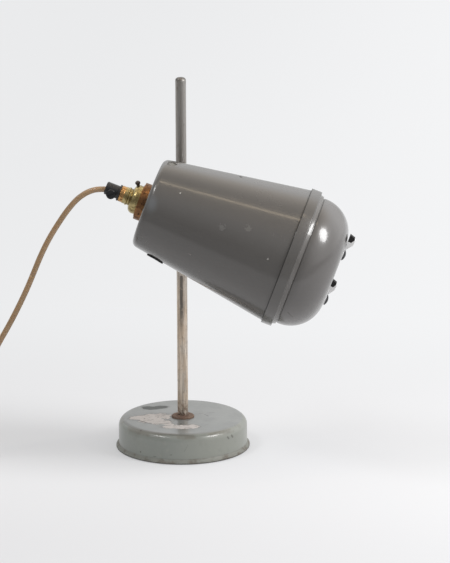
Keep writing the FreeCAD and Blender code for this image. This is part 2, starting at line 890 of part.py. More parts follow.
def cord_grip_screw():
    end = grip_front() - grip_flange_thickness - grip_length
    start = Vector(-grip_screw_drop, cord_radius + swing_gap, end + grip_screw_setback)
    side = Vector(0, 1, 0)
    shank_length = grip_radius - start.y
    shank = Part.makeCylinder(grip_screw_radius, shank_length, start, side)
    head = Part.makeCylinder(grip_screw_head_radius, grip_screw_head_height, start + side * shank_length, side)
    outer = [e for e in head.Edges if e.Closed and e.CenterOfMass.y > grip_radius + grip_screw_slot]
    head = head.makeChamfer(grip_screw_slot / 2, outer)
    slot = Part.makeBox(2 * grip_screw_head_radius, 2 * grip_screw_slot, grip_screw_slot)
    slot.translate(Vector(-grip_screw_head_radius, -grip_screw_slot, -grip_screw_slot))
    slot = placed(slot, start + side * (shank_length + grip_screw_head_height + seat_gap), (1, 0, 1), (0, 1, 0))
    return on_holder(shank.fuse(head).cut(slot))


# Bulb
def bulb_cap():
    body = Part.makeCylinder(bulb_cap_radius, bulb_cap_length, Vector(0, 0, bulb_cap_start))
    hollow = Part.makeCylinder(
        bulb_cap_radius - bulb_glass_wall, bulb_cap_length, Vector(0, 0, bulb_cap_start + bulb_stem_radius)
    )
    body = body.cut(hollow)
    pin_z = holder_length - bayonet_slot_depth + bayonet_slot_width - bulb_pin_radius - seat_gap
    pin_angle = 90 + bayonet_hook_angle
    for side in (0, 180):
        pin = Part.makeCylinder(
            bulb_pin_radius, bulb_pin_reach + bulb_glass_wall,
            Vector(bulb_cap_radius - bulb_glass_wall, 0, pin_z), Vector(1, 0, 0),
        )
        pin.rotate(Vector(0, 0, 0), Vector(0, 0, 1), side + pin_angle)
        body = body.fuse(pin)
    return on_holder(body.removeSplitter())


def bulb_glass():
    start = bulb_cap_start + bulb_cap_length
    centre = (0, bulb_centre)
    inner = bulb_radius - bulb_glass_wall
    low_angle = -58
    touch = on_arc(centre, bulb_radius, low_angle)
    inner_touch = on_arc(centre, inner, low_angle)
    neck = bulb_cap_radius - bulb_glass_wall
    return on_holder(turned(
        (bulb_cap_radius, start),
        touch,
        (on_arc(centre, bulb_radius, (low_angle + 90) / 2), (0, bulb_centre + bulb_radius)),
        (0, bulb_centre + inner),
        (on_arc(centre, inner, (low_angle + 90) / 2), inner_touch),
        (neck, start),
    ))


def bulb_stem():
    start = bulb_cap_start + bulb_cap_length
    post = bulb_stem_radius / 3
    foot = bulb_cap_radius - bulb_glass_wall - running_gap
    return on_holder(turned(
        (0, start),
        (foot, start),
        (bulb_stem_radius, start + bulb_stem_radius),
        (post, start + bulb_stem_length),
        (post, bulb_centre - filament_drop),
        (0, bulb_centre - filament_drop),
    ))


def bulb_filament():
    low = bulb_cap_start + bulb_cap_length + bulb_stem_radius
    reach = filament_span / 2
    bar = Part.makeCylinder(filament_radius, filament_span, Vector(0, -reach, bulb_centre), Vector(0, 1, 0))
    for side in (-1, 1):
        foot = Vector(0, side * bulb_stem_radius / 2, low)
        top = Vector(0, side * (reach - filament_radius), bulb_centre)
        leg = Part.makeCylinder(filament_wire_radius, foot.distanceToPoint(top), foot, top - foot)
        bar = bar.fuse(leg)
    return on_holder(bar.removeSplitter())


# Cord
def bend(start, corner, end):
    """The arc from start to end whose end tangents meet at the corner, both as far away."""
    chord = (start + end) * 0.5
    cosine = start.distanceToPoint(end) / 2 / start.distanceToPoint(corner)
    middle = chord + (corner - chord) * (cosine / (1 + cosine))
    return Part.Arc(start, middle, end).toShape()


def rounded_path(points, name):
    """Straight runs joined by tangent arcs, each as large as its two runs allow. Prints the radii."""
    edges = []
    radii = []
    here = points[0]
    for before, corner, after in zip(points, points[1:], points[2:]):
        back = before - corner
        ahead = after - corner
        turn = math.pi - back.getAngle(ahead)
        share = cord_bend_share * min(back.Length, ahead.Length)
        start = corner + back * (share / back.Length)
        end = corner + ahead * (share / ahead.Length)
        edges.append(Part.makeLine(here, start))
        edges.append(bend(start, corner, end))
        radii.append(share / math.tan(turn / 2))
        here = end
    edges.append(Part.makeLine(here, points[-1]))
    print(name, "radii", [round(r) for r in radii])
    return Part.Wire(edges)


def tube(path, name):
    """A round tube along a path, checked against its section times its length."""
    first = path.Edges[0]
    start = first.valueAt(first.FirstParameter)
    way = first.tangentAt(first.FirstParameter)
    section = Part.Wire([Part.makeCircle(cord_radius, start, way)])
    shell = Part.BRepOffsetAPI.MakePipeShell(path)
    shell.add(section)
    shell.build()
    shell.makeSolid()
    body = shell.shape()
    wanted = math.pi * cord_radius**2 * path.Length
    print(name, "length", round(path.Length, 1), "volume ratio", round(body.Volume / wanted, 4), body.isValid())
    return body


def cord_start():
    end = grip_front() - grip_flange_thickness - grip_length
    return head_point(-holder_drop, 0, end + cord_start_depth)


def coil_state(turns):
    """Point and direction of the coil's centreline after some turns: in along one layer and out along the next."""
    half = coil_turns / 2
    angle = -math.pi / 2 - 2 * math.pi * turns
    from_middle = turns - half
    radius = coil_outer_radius - coil_pitch * (half - abs(from_middle))
    radius_rate = 0 if from_middle == 0 else math.copysign(coil_pitch, from_middle)
    climb = min(max(2 * from_middle + 0.5, 0), 1)
    height = coil_layer_pitch * (1 - math.cos(math.pi * climb)) / 2
    height_rate = coil_layer_pitch * math.pi * math.sin(math.pi * climb)
    out = Vector(math.cos(angle), math.sin(angle), 0)
    side = Vector(-math.sin(angle), math.cos(angle), 0)
    point = coil_centre + out * radius + Vector(0, 0, height)
    way = out * radius_rate + side * (-2 * math.pi * radius) + Vector(0, 0, height_rate)
    return point, way.normalize()


def biarc(start, start_way, end, end_way):
    """Two arcs from start to end that keep both directions."""
    across = end - start
    ways = start_way + end_way
    spread = 2 * (1 - start_way.dot(end_way))
    lean = across.dot(ways)
    reach = (math.sqrt(lean**2 + spread * across.dot(across)) - lean) / spread
    first = start + start_way * reach
    second = end - end_way * reach
    middle = (first + second) * 0.5
    return [bend(start, first, middle), bend(middle, second, end)]


def coil_path():
    """The coil's centreline: a short straight end, biarcs of a quarter turn each and another straight end."""
    steps = coil_turns * coil_quarters
    states = [coil_state(k / coil_quarters) for k in range(steps + 1)]
    straight = 2 * cord_radius
    first, last = states[0], states[-1]
    edges = [Part.makeLine(first[0] - first[1] * straight, first[0])]
    for (a, a_way), (b, b_way) in zip(states, states[1:]):
        edges += biarc(a, a_way, b, b_way)
    edges.append(Part.makeLine(last[0], last[0] + last[1] * straight))
    return Part.Wire(edges)


def print_self_gap(path):
    """The least gap between the coil's turns, from points along its centreline."""
    points = path.discretize(Distance=2 * cord_radius / 3)
    far = int(math.pi * coil_mid_radius / (2 * cord_radius / 3))
    least = min(
        a.distanceToPoint(b) for k, a in enumerate(points) for b in points[k + far:]
    )
    print("coil least gap to itself", round(least - 2 * cord_radius, 3))


def coil_ends():
    """Where the coil's straight ends start and stop, with their directions."""
    first, first_way = coil_state(0)
    last, last_way = coil_state(coil_turns)
    straight = 2 * cord_radius
    return (first - first_way * straight, first_way), (last + last_way * straight, last_way)


def cord_drop():
    end, way = coil_ends()[0]
    points = [cord_start()] + [Vector(*p) for p in cord_route]
    points += [end - way * (points[-1].distanceToPoint(end) / 2), end]
    return tube(rounded_path(points, "cord_drop"), "cord_drop")


def cord_coil():
    path = coil_path()
    print_self_gap(path)
    return tube(path, "cord_coil")


def tail_points():
    start, way = coil_ends()[1]
    side = Vector(0, 0, 1).cross(way)
    points = [start]
    for along, across, down in tail_drops:
        points.append(start + way * along - side * across - Vector(0, 0, down))
    return points


def cord_tail():
    return tube(rounded_path(tail_points(), "cord_tail"), "cord_tail")


def coil_tie():
    """A flat band round all the turns at one place of the coil."""
    turn = math.radians(tie_angle)
    low = coil_outer_radius - coil_pitch * coil_turns / 2 - cord_radius - 2 * tie_gap
    high = coil_outer_radius + cord_radius + 2 * tie_gap
    bottom = tie_thickness
    top = coil_height + coil_layer_pitch + cord_radius + tie_gap
    corner = cord_radius
    outer = rounded_box(high - low + 2 * tie_thickness, top - bottom + 2 * tie_thickness, 0, tie_width, corner)
    inner = rounded_box(high - low, top - bottom, -cut_overrun, tie_width + cut_overrun, corner - tie_thickness)
    band = outer.cut(inner)
    middle = (low + high) / 2
    place = (
        coil_centre.x + middle * math.cos(turn) + tie_width / 2 * math.sin(turn),
        coil_centre.y + middle * math.sin(turn) - tie_width / 2 * math.cos(turn),
        (top + bottom) / 2,
    )
    return placed(band, place, (math.cos(turn), math.sin(turn), 0), (-math.sin(turn), math.cos(turn), 0))


# Plug, lying on its back with its pins up
def plug_frame(shape):
    """The plug's own frame: X along the cord as it comes in, Z up, origin on the floor below its entry."""
    points = tail_points()
    end = points[-1]
    way = end - points[-2]
    flat = Vector(way.x, way.y, 0)
    return placed(shape, (end.x, end.y, 0), (flat.x, flat.y, 0), (0, 0, 1))


def plug_shell(low, high):
    body = rounded_box(plug_length, plug_width, low, high, plug_corner)
    body.translate(Vector(plug_entry_length + plug_length / 2, 0, 0))
    return body


def plug_cover():
    body = plug_shell(0, plug_cover_height)
    bottom = [e for e in body.Edges if e.BoundBox.ZMax < seat_gap]
    body = body.makeFillet(plug_wall, bottom)
    hollow = rounded_box(
        plug_length - 2 * plug_wall, plug_width - 2 * plug_wall, plug_wall, plug_cover_height + cut_overrun,
        plug_corner - plug_wall,
    )
    hollow.translate(Vector(plug_entry_length + plug_length / 2, 0, 0))
    height = tail_points()[-1].z
    neck = Part.makeCylinder(
        plug_entry_radius, plug_entry_length + plug_wall, Vector(0, 0, height), Vector(1, 0, 0)
    )
    return plug_frame(body.cut(hollow).fuse(neck).removeSplitter())


def plug_pin_places():
    """Middle, width and length of each pin, in the plug's own frame."""
    near = plug_entry_length + plug_length * pin_centre_share
    return (
        (near, -pin_spread / 2, pin_width, pin_length, False),
        (near, pin_spread / 2, pin_width, pin_length, False),
        (near + pin_rise, 0, earth_pin_width, earth_pin_length, True),
    )


def pin_block(place, grow, low, high):
    x, y, width, length, upright = place
    across = (pin_thickness, width) if not upright else (width, pin_thickness)
    size = [c + 2 * grow for c in (across if upright else across[::-1])]
    return Part.makeBox(size[0], size[1], high - low, Vector(x - size[0] / 2, y - size[1] / 2, low))


def plug_base():
    low = plug_cover_height
    body = plug_shell(low, low + plug_base_height)
    top = [e for e in body.Edges if e.BoundBox.ZMin > low + plug_base_height - seat_gap]
    body = body.makeFillet(plug_wall / 2, top)
    for place in plug_pin_places():
        body = body.cut(pin_block(place, running_gap, low - cut_overrun, low + plug_base_height + cut_overrun))
    screw_x = plug_entry_length + plug_length / 2
    hole = Part.makeCylinder(
        plug_screw_radius + running_gap, plug_base_height + 2 * cut_overrun, Vector(screw_x, 0, low - cut_overrun)
    )
    return plug_frame(body.cut(hole))


def plug_pins():
    low = plug_cover_height + plug_base_height
    pins = []
    for place in plug_pin_places():
        pin = pin_block(place, 0, low - plug_base_height - pin_root / 2, low + place[3])
        tips = [e for e in pin.Edges if e.BoundBox.ZMin > low + place[3] - seat_gap]
        pins.append(plug_frame(pin.makeChamfer(pin_thickness / 5, tips)))
    return Part.makeCompound(pins)


def plug_screw():
    high = plug_cover_height + plug_base_height - plug_wall / 3
    screw_x = plug_entry_length + plug_length / 2
    body = Part.makeCylinder(plug_screw_radius, plug_screw_length, Vector(screw_x, 0, high - plug_screw_length))
    slot = Part.makeBox(2 * plug_screw_radius, grip_screw_slot, grip_screw_slot)
    slot.translate(Vector(screw_x - plug_screw_radius, -grip_screw_slot / 2, high - grip_screw_slot))
    return plug_frame(body.cut(slot))


def plug_fuse():
    x = plug_entry_length + plug_length * pin_centre_share
    body = Part.makeCylinder(
        fuse_radius, fuse_length,
        Vector(x - fuse_length / 4, plug_screw_radius + 2 * fuse_radius, plug_wall + fuse_radius + seat_gap),
        Vector(1, 0, 0),
    )
    return plug_frame(body)


def save(name, shape):
    shape.exportStep("parts/" + name + ".step")
    print(name, "solids", len(shape.Solids), "volume", round(shape.Volume, 1), shape.isValid())


single_pieces = (
    base_cover, base_weight, base_felt, rod, foot_flange, rod_washer, rod_nut,
    stop_collar, collar_screw, clamp_block, clamp_pad, clamp_screw,
    friction_washer, pivot_bolt, spring_washer, pivot_saddle, inner_saddle,
    lamp_housing, vent_grommet, front_cap, window_glass, window_ring,
    shade_ring, inner_ring, holder_body, holder_cap, holder_insert, switch_button,
    grip_collar, cord_grip, cord_grip_screw,
    bulb_cap, bulb_glass, bulb_stem, bulb_filament,
    cord_drop, cord_coil, cord_tail, coil_tie,
    plug_cover, plug_base, plug_pins, plug_screw, plug_fuse,
)
for piece in single_pieces:
    save(piece.__name__, piece())
save("contact_plungers", Part.makeCompound([contact_plunger(s) for s in (-plunger_spread, plunger_spread)]))
save("cord_cores", Part.makeCompound([cord_core(s) for s in (-plunger_spread / 2, plunger_spread / 2)]))
for where in clip_heights:
    save("clip_arm_" + where, clip_arm(where))
    save("clip_pad_" + where, clip_pad(where))
save("clip_screws", Part.makeCompound([clip_screw(h) for h in clip_heights.values()]))
save("clip_nuts", Part.makeCompound([clip_nut(h) for h in clip_heights.values()]))
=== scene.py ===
"""Desk lamp: a painted steel base, an upright rod, a sliding clamp, and a tapered head with its cord.

Metres, in the CAD frame: the origin is under the rod, Z is up, the head hangs at -Y and points to +X.
"""

import math

import bpy
from mathutils import Matrix, Vector


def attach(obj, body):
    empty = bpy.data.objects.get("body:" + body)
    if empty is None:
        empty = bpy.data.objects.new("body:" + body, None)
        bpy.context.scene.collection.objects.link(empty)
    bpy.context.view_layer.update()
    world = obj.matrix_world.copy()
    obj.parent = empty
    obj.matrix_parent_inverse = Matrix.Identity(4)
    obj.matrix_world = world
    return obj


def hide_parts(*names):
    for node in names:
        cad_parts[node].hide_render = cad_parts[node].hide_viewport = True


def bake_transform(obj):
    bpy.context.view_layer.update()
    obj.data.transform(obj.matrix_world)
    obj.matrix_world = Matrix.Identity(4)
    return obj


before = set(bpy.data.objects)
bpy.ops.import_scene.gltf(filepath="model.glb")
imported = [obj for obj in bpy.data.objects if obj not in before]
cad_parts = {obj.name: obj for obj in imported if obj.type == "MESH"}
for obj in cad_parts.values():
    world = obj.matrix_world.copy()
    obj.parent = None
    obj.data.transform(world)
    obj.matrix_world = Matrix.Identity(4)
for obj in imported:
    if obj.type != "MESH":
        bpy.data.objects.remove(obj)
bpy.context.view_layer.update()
scene = bpy.context.scene
scene.view_settings.view_transform = "Standard"

# Sizes that the pieces share with the CAD model
HEAD_TILT = math.radians(20.4)
PIVOT = Vector((0, -0.0765, 0.2924))
PIVOT_SETBACK = 0.0296
ALONG = Vector((math.cos(HEAD_TILT), 0, -math.sin(HEAD_TILT)))
ACROSS = Vector((math.sin(HEAD_TILT), 0, math.cos(HEAD_TILT)))
HOLDER_DROP = 0.0021
HEAD_REAR_RADIUS = 0.0504
HEAD_SLOPE = 0.159
CORD_RADIUS = 0.0032
ROD_RADIUS = 0.006
BASE_TOP = 0.034


def head_point(across, side, along):
    """A point of the head's own frame, in the lamp's frame."""
    return PIVOT + ALONG * (along - PIVOT_SETBACK) + ACROSS * across + Vector((0, -side, 0))

# Camera, fitted to the outline of base, rod and head in the photo
PHOTO_HEIGHT_PX = 563
FOCAL_LENGTH_PX = 3000
SENSOR_HEIGHT = 36
CAMERA_PLACE = (0.404, -3.2677, 1.0325)
CAMERA_TURN = math.radians(6.2)
CAMERA_PITCH = math.radians(75.7)
CAMERA_ROLL = math.radians(-0.19)


def set_camera():
    """The camera that sees the lamp as the photo shows it."""
    lens = bpy.data.cameras.new("camera")
    lens.sensor_fit = "VERTICAL"
    lens.sensor_height = SENSOR_HEIGHT
    lens.lens = FOCAL_LENGTH_PX * SENSOR_HEIGHT / PHOTO_HEIGHT_PX
    camera = bpy.data.objects.new("camera", lens)
    scene.collection.objects.link(camera)
    aim = Matrix.Rotation(CAMERA_TURN, 4, "Z") @ Matrix.Rotation(CAMERA_PITCH, 4, "X")
    roll = Matrix.Rotation(CAMERA_ROLL, 4, "Z")
    camera.matrix_world = Matrix.Translation(CAMERA_PLACE) @ aim @ roll
    scene.camera = camera


# Cord
COIL_MIDDLE = Vector((-0.312, -0.028, 0.00435))
COIL_TURNS = 6
COIL_OUTER = 0.0485
COIL_PITCH = 0.007
COIL_LAYER = 0.007
COIL_POINTS = 16

CORD_DROP = (
    (-0.06859, -0.0765, 0.31567),
    (-0.0810, -0.0765, 0.3164),
    (-0.0933, -0.0765, 0.3133),
    (-0.1058, -0.0765, 0.3050),
    (-0.1170, -0.0765, 0.2920),
    (-0.1275, -0.0765, 0.2766),
    (-0.1385, -0.0765, 0.2588),
    (-0.1485, -0.0765, 0.2386),
    (-0.1568, -0.0765, 0.2182),
    (-0.1650, -0.0765, 0.1990),
    (-0.1750, -0.0765, 0.1782),
    (-0.1860, -0.0765, 0.1572),
    (-0.1972, -0.0765, 0.1380),
    (-0.2070, -0.0765, 0.1183),
    (-0.2160, -0.0765, 0.0986),
    (-0.2243, -0.0765, 0.0788),
    (-0.2328, -0.0765, 0.0596),
    (-0.2430, -0.0765, 0.0412),
    (-0.2565, -0.0765, 0.0248),
    (-0.2740, -0.0765, 0.0118),
    (-0.2900, -0.0766, 0.00435),
    (-0.3056, -0.07665, 0.00435),
)
CORD_TAIL = (
    (-0.3184, -0.07665, 0.01135),
    (-0.3344, -0.07702, 0.01135),
    (-0.34943, -0.07586, 0.00935),
    (-0.3645, -0.0732, 0.00935),
)
CORD_CUTS = (0.14, 0.25, 0.375)  # lengths from the grip where one stretch ends and the next begins


def coil_points():
    """Points round the put-away coil: in along the lower layer and out along the upper one."""
    half = COIL_TURNS / 2
    spread = 1 / math.cos(math.pi / COIL_POINTS)
    points = []
    for k in range(COIL_TURNS * COIL_POINTS + 1):
        turns = k / COIL_POINTS
        angle = -math.pi / 2 - 2 * math.pi * turns
        from_middle = turns - half
        radius = (COIL_OUTER - COIL_PITCH * (half - abs(from_middle))) * spread
        climb = min(max(2 * from_middle + 0.5, 0), 1)
        rise = COIL_LAYER * (1 - math.cos(math.pi * climb)) / 2
        out = Vector((math.cos(angle), math.sin(angle), 0))
        points.append(COIL_MIDDLE + out * radius + Vector((0, 0, rise)))
    return points


def route_line(points, name):
    """The smooth line of a route, read back as points from its NURBS curve."""
    data = bpy.data.curves.new(name, "CURVE")
    data.dimensions = "3D"
    data.resolution_u = 6
    spline = data.splines.new("NURBS")
    spline.points.add(len(points) - 1)
    for knot, place in zip(spline.points, points):
        knot.co = (*place, 1)
    spline.order_u = 3
    spline.use_endpoint_u = True
    curve = bpy.data.objects.new(name, data)
    scene.collection.objects.link(curve)
    bpy.context.view_layer.update()
    seen = curve.evaluated_get(bpy.context.evaluated_depsgraph_get())
    mesh = bpy.data.meshes.new_from_object(seen)
    line = [v.co.copy() for v in mesh.vertices]
    bpy.data.meshes.remove(mesh)
    bpy.data.objects.remove(curve)
    return line


def tube_mesh(line, radius, name, sides=16):
    """A closed round tube that follows a line of points, with its length along the cord kept as UVs."""
    vertices = []
    travelled = []
    distance = 0
    way = (line[1] - line[0]).normalized()
    side = way.orthogonal().normalized()
    for k, place in enumerate(line):
        onward = (line[min(k + 1, len(line) - 1)] - line[max(k - 1, 0)]).normalized()
        side = way.rotation_difference(onward) @ side
        way = onward
        up = way.cross(side)
        if k:
            distance += (place - line[k - 1]).length
        travelled.append(distance)
        for n in range(sides):
            angle = 2 * math.pi * n / sides
            vertices.append(place + (side * math.cos(angle) + up * math.sin(angle)) * radius)
    faces = []
    marks = []
    for k, (here, there) in enumerate(zip(travelled, travelled[1:])):
        near, far = k * sides, (k + 1) * sides
        for n in range(sides):
            m = (n + 1) % sides
            faces.append((near + n, near + m, far + m, far + n))
            low, high = n / sides, (n + 1) / sides
            marks += [(here, low), (here, high), (there, high), (there, low)]
    last = (len(line) - 1) * sides
    faces.append(tuple(range(sides - 1, -1, -1)))
    faces.append(tuple(range(last, last + sides)))
    marks += [(0, n / sides) for n in range(sides)] + [(distance, n / sides) for n in range(sides)]
    mesh = bpy.data.meshes.new(name)
    mesh.from_pydata(vertices, [], faces)
    layer = mesh.uv_layers.new(name="cord_length")
    for corner, mark in zip(layer.data, marks):
        corner.uv = mark
    for face in mesh.polygons:
        face.use_smooth = len(face.vertices) == 4
    piece = bpy.data.objects.new(name, mesh)
    scene.collection.objects.link(piece)
    return piece


def make_cord():
    """The cord in four stretches: three hang from the head towards the floor and one lies with its coil and
    plug.
    """
    line = route_line([*CORD_DROP, *coil_points(), *CORD_TAIL], "cord_route")
    cuts = [0]
    walked = 0
    for k in range(1, len(line)):
        walked += (line[k] - line[k - 1]).length
        if len(cuts) <= len(CORD_CUTS) and walked >= CORD_CUTS[len(cuts) - 1]:
            cuts.append(k)
    cuts.append(len(line) - 1)
    stretches = [line[a:b + 1] for a, b in zip(cuts, cuts[1:])]
    names = ("cord_by_head", "cord_by_clamp", "cord_by_collar", "cord_lying")
    pieces = [tube_mesh(stretch, CORD_RADIUS, name) for stretch, name in zip(stretches, names)]
    bodies = (("head", "clamp"), ("clamp", "collar"), ("collar", "stand"))
    for piece, stretch, (a, b) in zip(pieces, stretches, bodies):
        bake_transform(piece)
    lying, stretch = pieces[-1], stretches[-1]
    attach(lying, "stand")
    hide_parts("cord_coil", "cord_tail")
    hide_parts("cord_drop")
    return pieces


# New pieces
def arc(middle, radius, low, high, steps):
    """Outline points (radius, height) on an arc, its angles in degrees from the radial direction."""
    angles = [math.radians(low + (high - low) * k / steps) for k in range(steps + 1)]
    return [(middle[0] + radius * math.cos(a), middle[1] + radius * math.sin(a)) for a in angles]


def turned(name, outline, sides, sharp=30):
    """A turned piece about Z: its outline is extruded point by point from one vertex and spun round."""
    bpy.ops.object.select_all(action="DESELECT")
    bpy.ops.mesh.primitive_plane_add(size=0.001)
    piece = bpy.context.object
    piece.name = piece.data.name = name
    bpy.ops.object.mode_set(mode="EDIT")
    bpy.ops.mesh.select_all(action="SELECT")
    bpy.ops.mesh.merge(type="CENTER")
    bpy.ops.transform.translate(value=(outline[0][0], 0, outline[0][1]))
    for here, after in zip(outline, outline[1:]):
        step = (after[0] - here[0], 0, after[1] - here[1])
        bpy.ops.mesh.extrude_region_move(TRANSFORM_OT_translate={"value": step})
    bpy.ops.mesh.select_all(action="SELECT")
    bpy.ops.mesh.spin(steps=sides, angle=2 * math.pi, center=(0, 0, 0), axis=(0, 0, 1))
    bpy.ops.mesh.select_all(action="SELECT")
    bpy.ops.mesh.remove_doubles(threshold=0.000002)
    bpy.ops.mesh.normals_make_consistent(inside=False)
    bpy.ops.object.mode_set(mode="OBJECT")
    bpy.ops.object.shade_smooth_by_angle(angle=math.radians(sharp))
    return piece


def fix_in_place(piece, origin, x_way, z_way):
    """Turns and moves a piece so that its own Z points along z_way, with that place kept in its mesh."""
    z_axis = Vector(z_way).normalized()
    x_axis = Vector(x_way).normalized()
    axes = Matrix((x_axis, z_axis.cross(x_axis), z_axis)).transposed().to_4x4()
    piece.matrix_world = Matrix.Translation(origin) @ axes
    bpy.context.view_layer.update()
    bpy.ops.object.select_all(action="DESELECT")
    piece.select_set(True)
    bpy.context.view_layer.objects.active = piece
    bpy.ops.object.transform_apply(location=True, rotation=True, scale=True)


def make_cap_shell():
    """The pressed front cap: a band, a step, a sloping land, a fine groove and the dome with its window."""
    dome_middle = (0.0352, 0.1821)
    dome_outer, dome_inner = 0.038, 0.0368
    outline = [(0.0775, 0.1638), (0.0781, 0.1635), (0.0785, 0.1636), (0.0787, 0.1639), (0.0787, 0.1745)]
    outline += arc((0.0778, 0.1745), 0.0009, 20, 90, 4)
    outline += [(0.0762, 0.17545), (0.0756, 0.1757), (0.0754, 0.1761), (0.0746, 0.1786)]
    outline += arc((0.0741, 0.1786), 0.0005, 20, 90, 3)
    outline += [(0.0733, 0.1792), (0.0728, 0.1794), (0.07265, 0.1798), (0.0728, 0.1802), (0.0730, 0.1805)]
    outline += arc(dome_middle, dome_outer, -2, 90, 30)
    outline += [(0.0151, 0.2201), (0.0147, 0.22), (0.0145, 0.2197), (0.0145, 0.2189), (0.0352, 0.2189)]
    outline += arc(dome_middle, dome_inner, 90, -2.5, 20)[1:]
    outline += [(0.07197, 0.1766), (0.0751, 0.1742), (0.0775, 0.1742), (0.0775, 0.1638)]
    shell = turned("cap_shell", outline, sides=144)
    fix_in_place(shell, head_point(0, 0, 0), ACROSS, ALONG)
    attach(shell, "cap")
    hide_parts("front_cap")
    return shell


BUTTON_LEAN = math.radians(31)
BUTTON_FOOT = head_point(0.0072 - HOLDER_DROP, 0, -0.0111)


def make_button():
    """The switch button on its stem, slightly wider towards its rounded end."""
    outline = [(0, 0), (0.0016, 0), (0.0019, 0.0003), (0.0019, 0.0107)]
    outline += arc((0.0007, 0.0126), 0.0022, -46, 62, 10)
    outline += [(0.0012, 0.0149), (0.0007, 0.0151), (0, 0.0152)]
    button = turned("button_turned", outline, sides=40)
    way = ACROSS * math.cos(BUTTON_LEAN) - ALONG * math.sin(BUTTON_LEAN)
    fix_in_place(button, BUTTON_FOOT, (0, 1, 0), way)
    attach(button, "button")
    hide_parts("switch_button")
    return button


DISC_LEAN = math.radians(8)
DISC_FROM_REAR = 0.0118
DISC_FROM_AXIS = 0.0508


def make_hole_plug():
    """The blanking disc that sits in the hole on top of the housing, a little below its skin."""
    outline = [(0, 0), (0.0044, 0), (0.00445, 0.0001), (0.00445, 0.0009), (0.0043, 0.001)]
    outline += [(0.0036, 0.0008), (0, 0.0008)]
    plug = turned("hole_plug", outline, sides=40)
    way = ACROSS * math.cos(DISC_LEAN) + Vector((0, -1, 0)) * math.sin(DISC_LEAN)
    fix_in_place(plug, head_point(0, 0, DISC_FROM_REAR) + way * DISC_FROM_AXIS, ALONG, way)
    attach(plug, "head")
    return plug


# Shader nodes
NUMBER_OPERATIONS = ("DOT_PRODUCT", "DISTANCE", "LENGTH")
FLOAT = "NodeSocketFloat"
VECTOR = "NodeSocketVector"


def feed(tree, value, socket):
    """Links an output to a socket, or sets a plain value on it."""
    if isinstance(value, bpy.types.NodeSocket):
        tree.links.new(value, socket)
    else:
        socket.default_value = value


def put(tree, kind, values=None, **settings):
    """Adds a node, sets its settings and feeds its inputs by name or number."""
    node = tree.nodes.new(kind)
    for key, value in settings.items():
        setattr(node, key, value)
    for key, value in (values or {}).items():
        feed(tree, value, node.inputs[key])
    return node


def sum_of(tree, operation, *values, clamp=False):
    """A Math node's result."""
    node = put(tree, "ShaderNodeMath", dict(enumerate(values)), operation=operation, use_clamp=clamp)
    return node.outputs[0]


def vector_of(tree, operation, *values, **named):
    """A Vector Math node's vector, or its number where the operation gives one."""
    node = put(tree, "ShaderNodeVectorMath", {**dict(enumerate(values)), **named}, operation=operation)
    return node.outputs["Value" if operation in NUMBER_OPERATIONS else "Vector"]


def mix_of(tree, kind, factor, a, b):
    """A Mix node's result: a where the factor is 0 and b where it is 1."""
    return put(tree, "ShaderNodeMix", {"Factor": factor, "A": a, "B": b}, data_type=kind).outputs["Result"]


def ramp(tree, value, low, high):
    """0 at low and 1 at high, smooth between and level past them. Low may be the larger one."""
    values = {"Value": value, "From Min": low, "From Max": high}
    return put(tree, "ShaderNodeMapRange", values, interpolation_type="SMOOTHSTEP").outputs["Result"]


def axes_of(tree, vector):
    """A vector's X, Y and Z."""
    return put(tree, "ShaderNodeSeparateXYZ", {0: vector}).outputs


# Shader effects that several finishes share
def effect_group(name, inputs, output):
    """A shader node group with inputs (name, kind, start value) and one number that it puts out."""
    tree = bpy.data.node_groups.new(name, "ShaderNodeTree")
    for label, kind, value in (("Position", VECTOR, None), *inputs):
        socket = tree.interface.new_socket(name=label, in_out="INPUT", socket_type=kind)
        if value is not None:
            socket.default_value = value
    tree.interface.new_socket(name=output, in_out="OUTPUT", socket_type=FLOAT)
    return tree, tree.nodes.new("NodeGroupInput").outputs, tree.nodes.new("NodeGroupOutput").inputs


def build_oval():
    """How far a point is from the middle of an oval patch: 1 on its outline, made ragged by noise."""
    tree, given, result = effect_group(
        "ragged_oval",
        (("Place", VECTOR, (0, 0, 0)), ("Size", VECTOR, (0.01, 0.01, 0.01)), ("Turn", FLOAT, 0.0),
         ("Ragged", FLOAT, 0.35), ("Grain", FLOAT, 90.0)),
        "Reach",
    )
    shifted = vector_of(tree, "SUBTRACT", given["Position"], given["Place"])
    turned_back = put(
        tree, "ShaderNodeVectorRotate", {"Vector": shifted, "Angle": given["Turn"]}, rotation_type="Z_AXIS"
    ).outputs[0]
    reach = vector_of(tree, "LENGTH", vector_of(tree, "DIVIDE", turned_back, given["Size"]))
    noise = put(
        tree, "ShaderNodeTexNoise",
        {"Vector": given["Position"], "Scale": given["Grain"], "Detail": 5.0, "Roughness": 0.6},
    ).outputs["Fac"]
    swing = sum_of(tree, "MULTIPLY", sum_of(tree, "MULTIPLY_ADD", noise, 2.0, -1.0), given["Ragged"])
    feed(tree, sum_of(tree, "ADD", reach, swing), result["Reach"])
    return tree


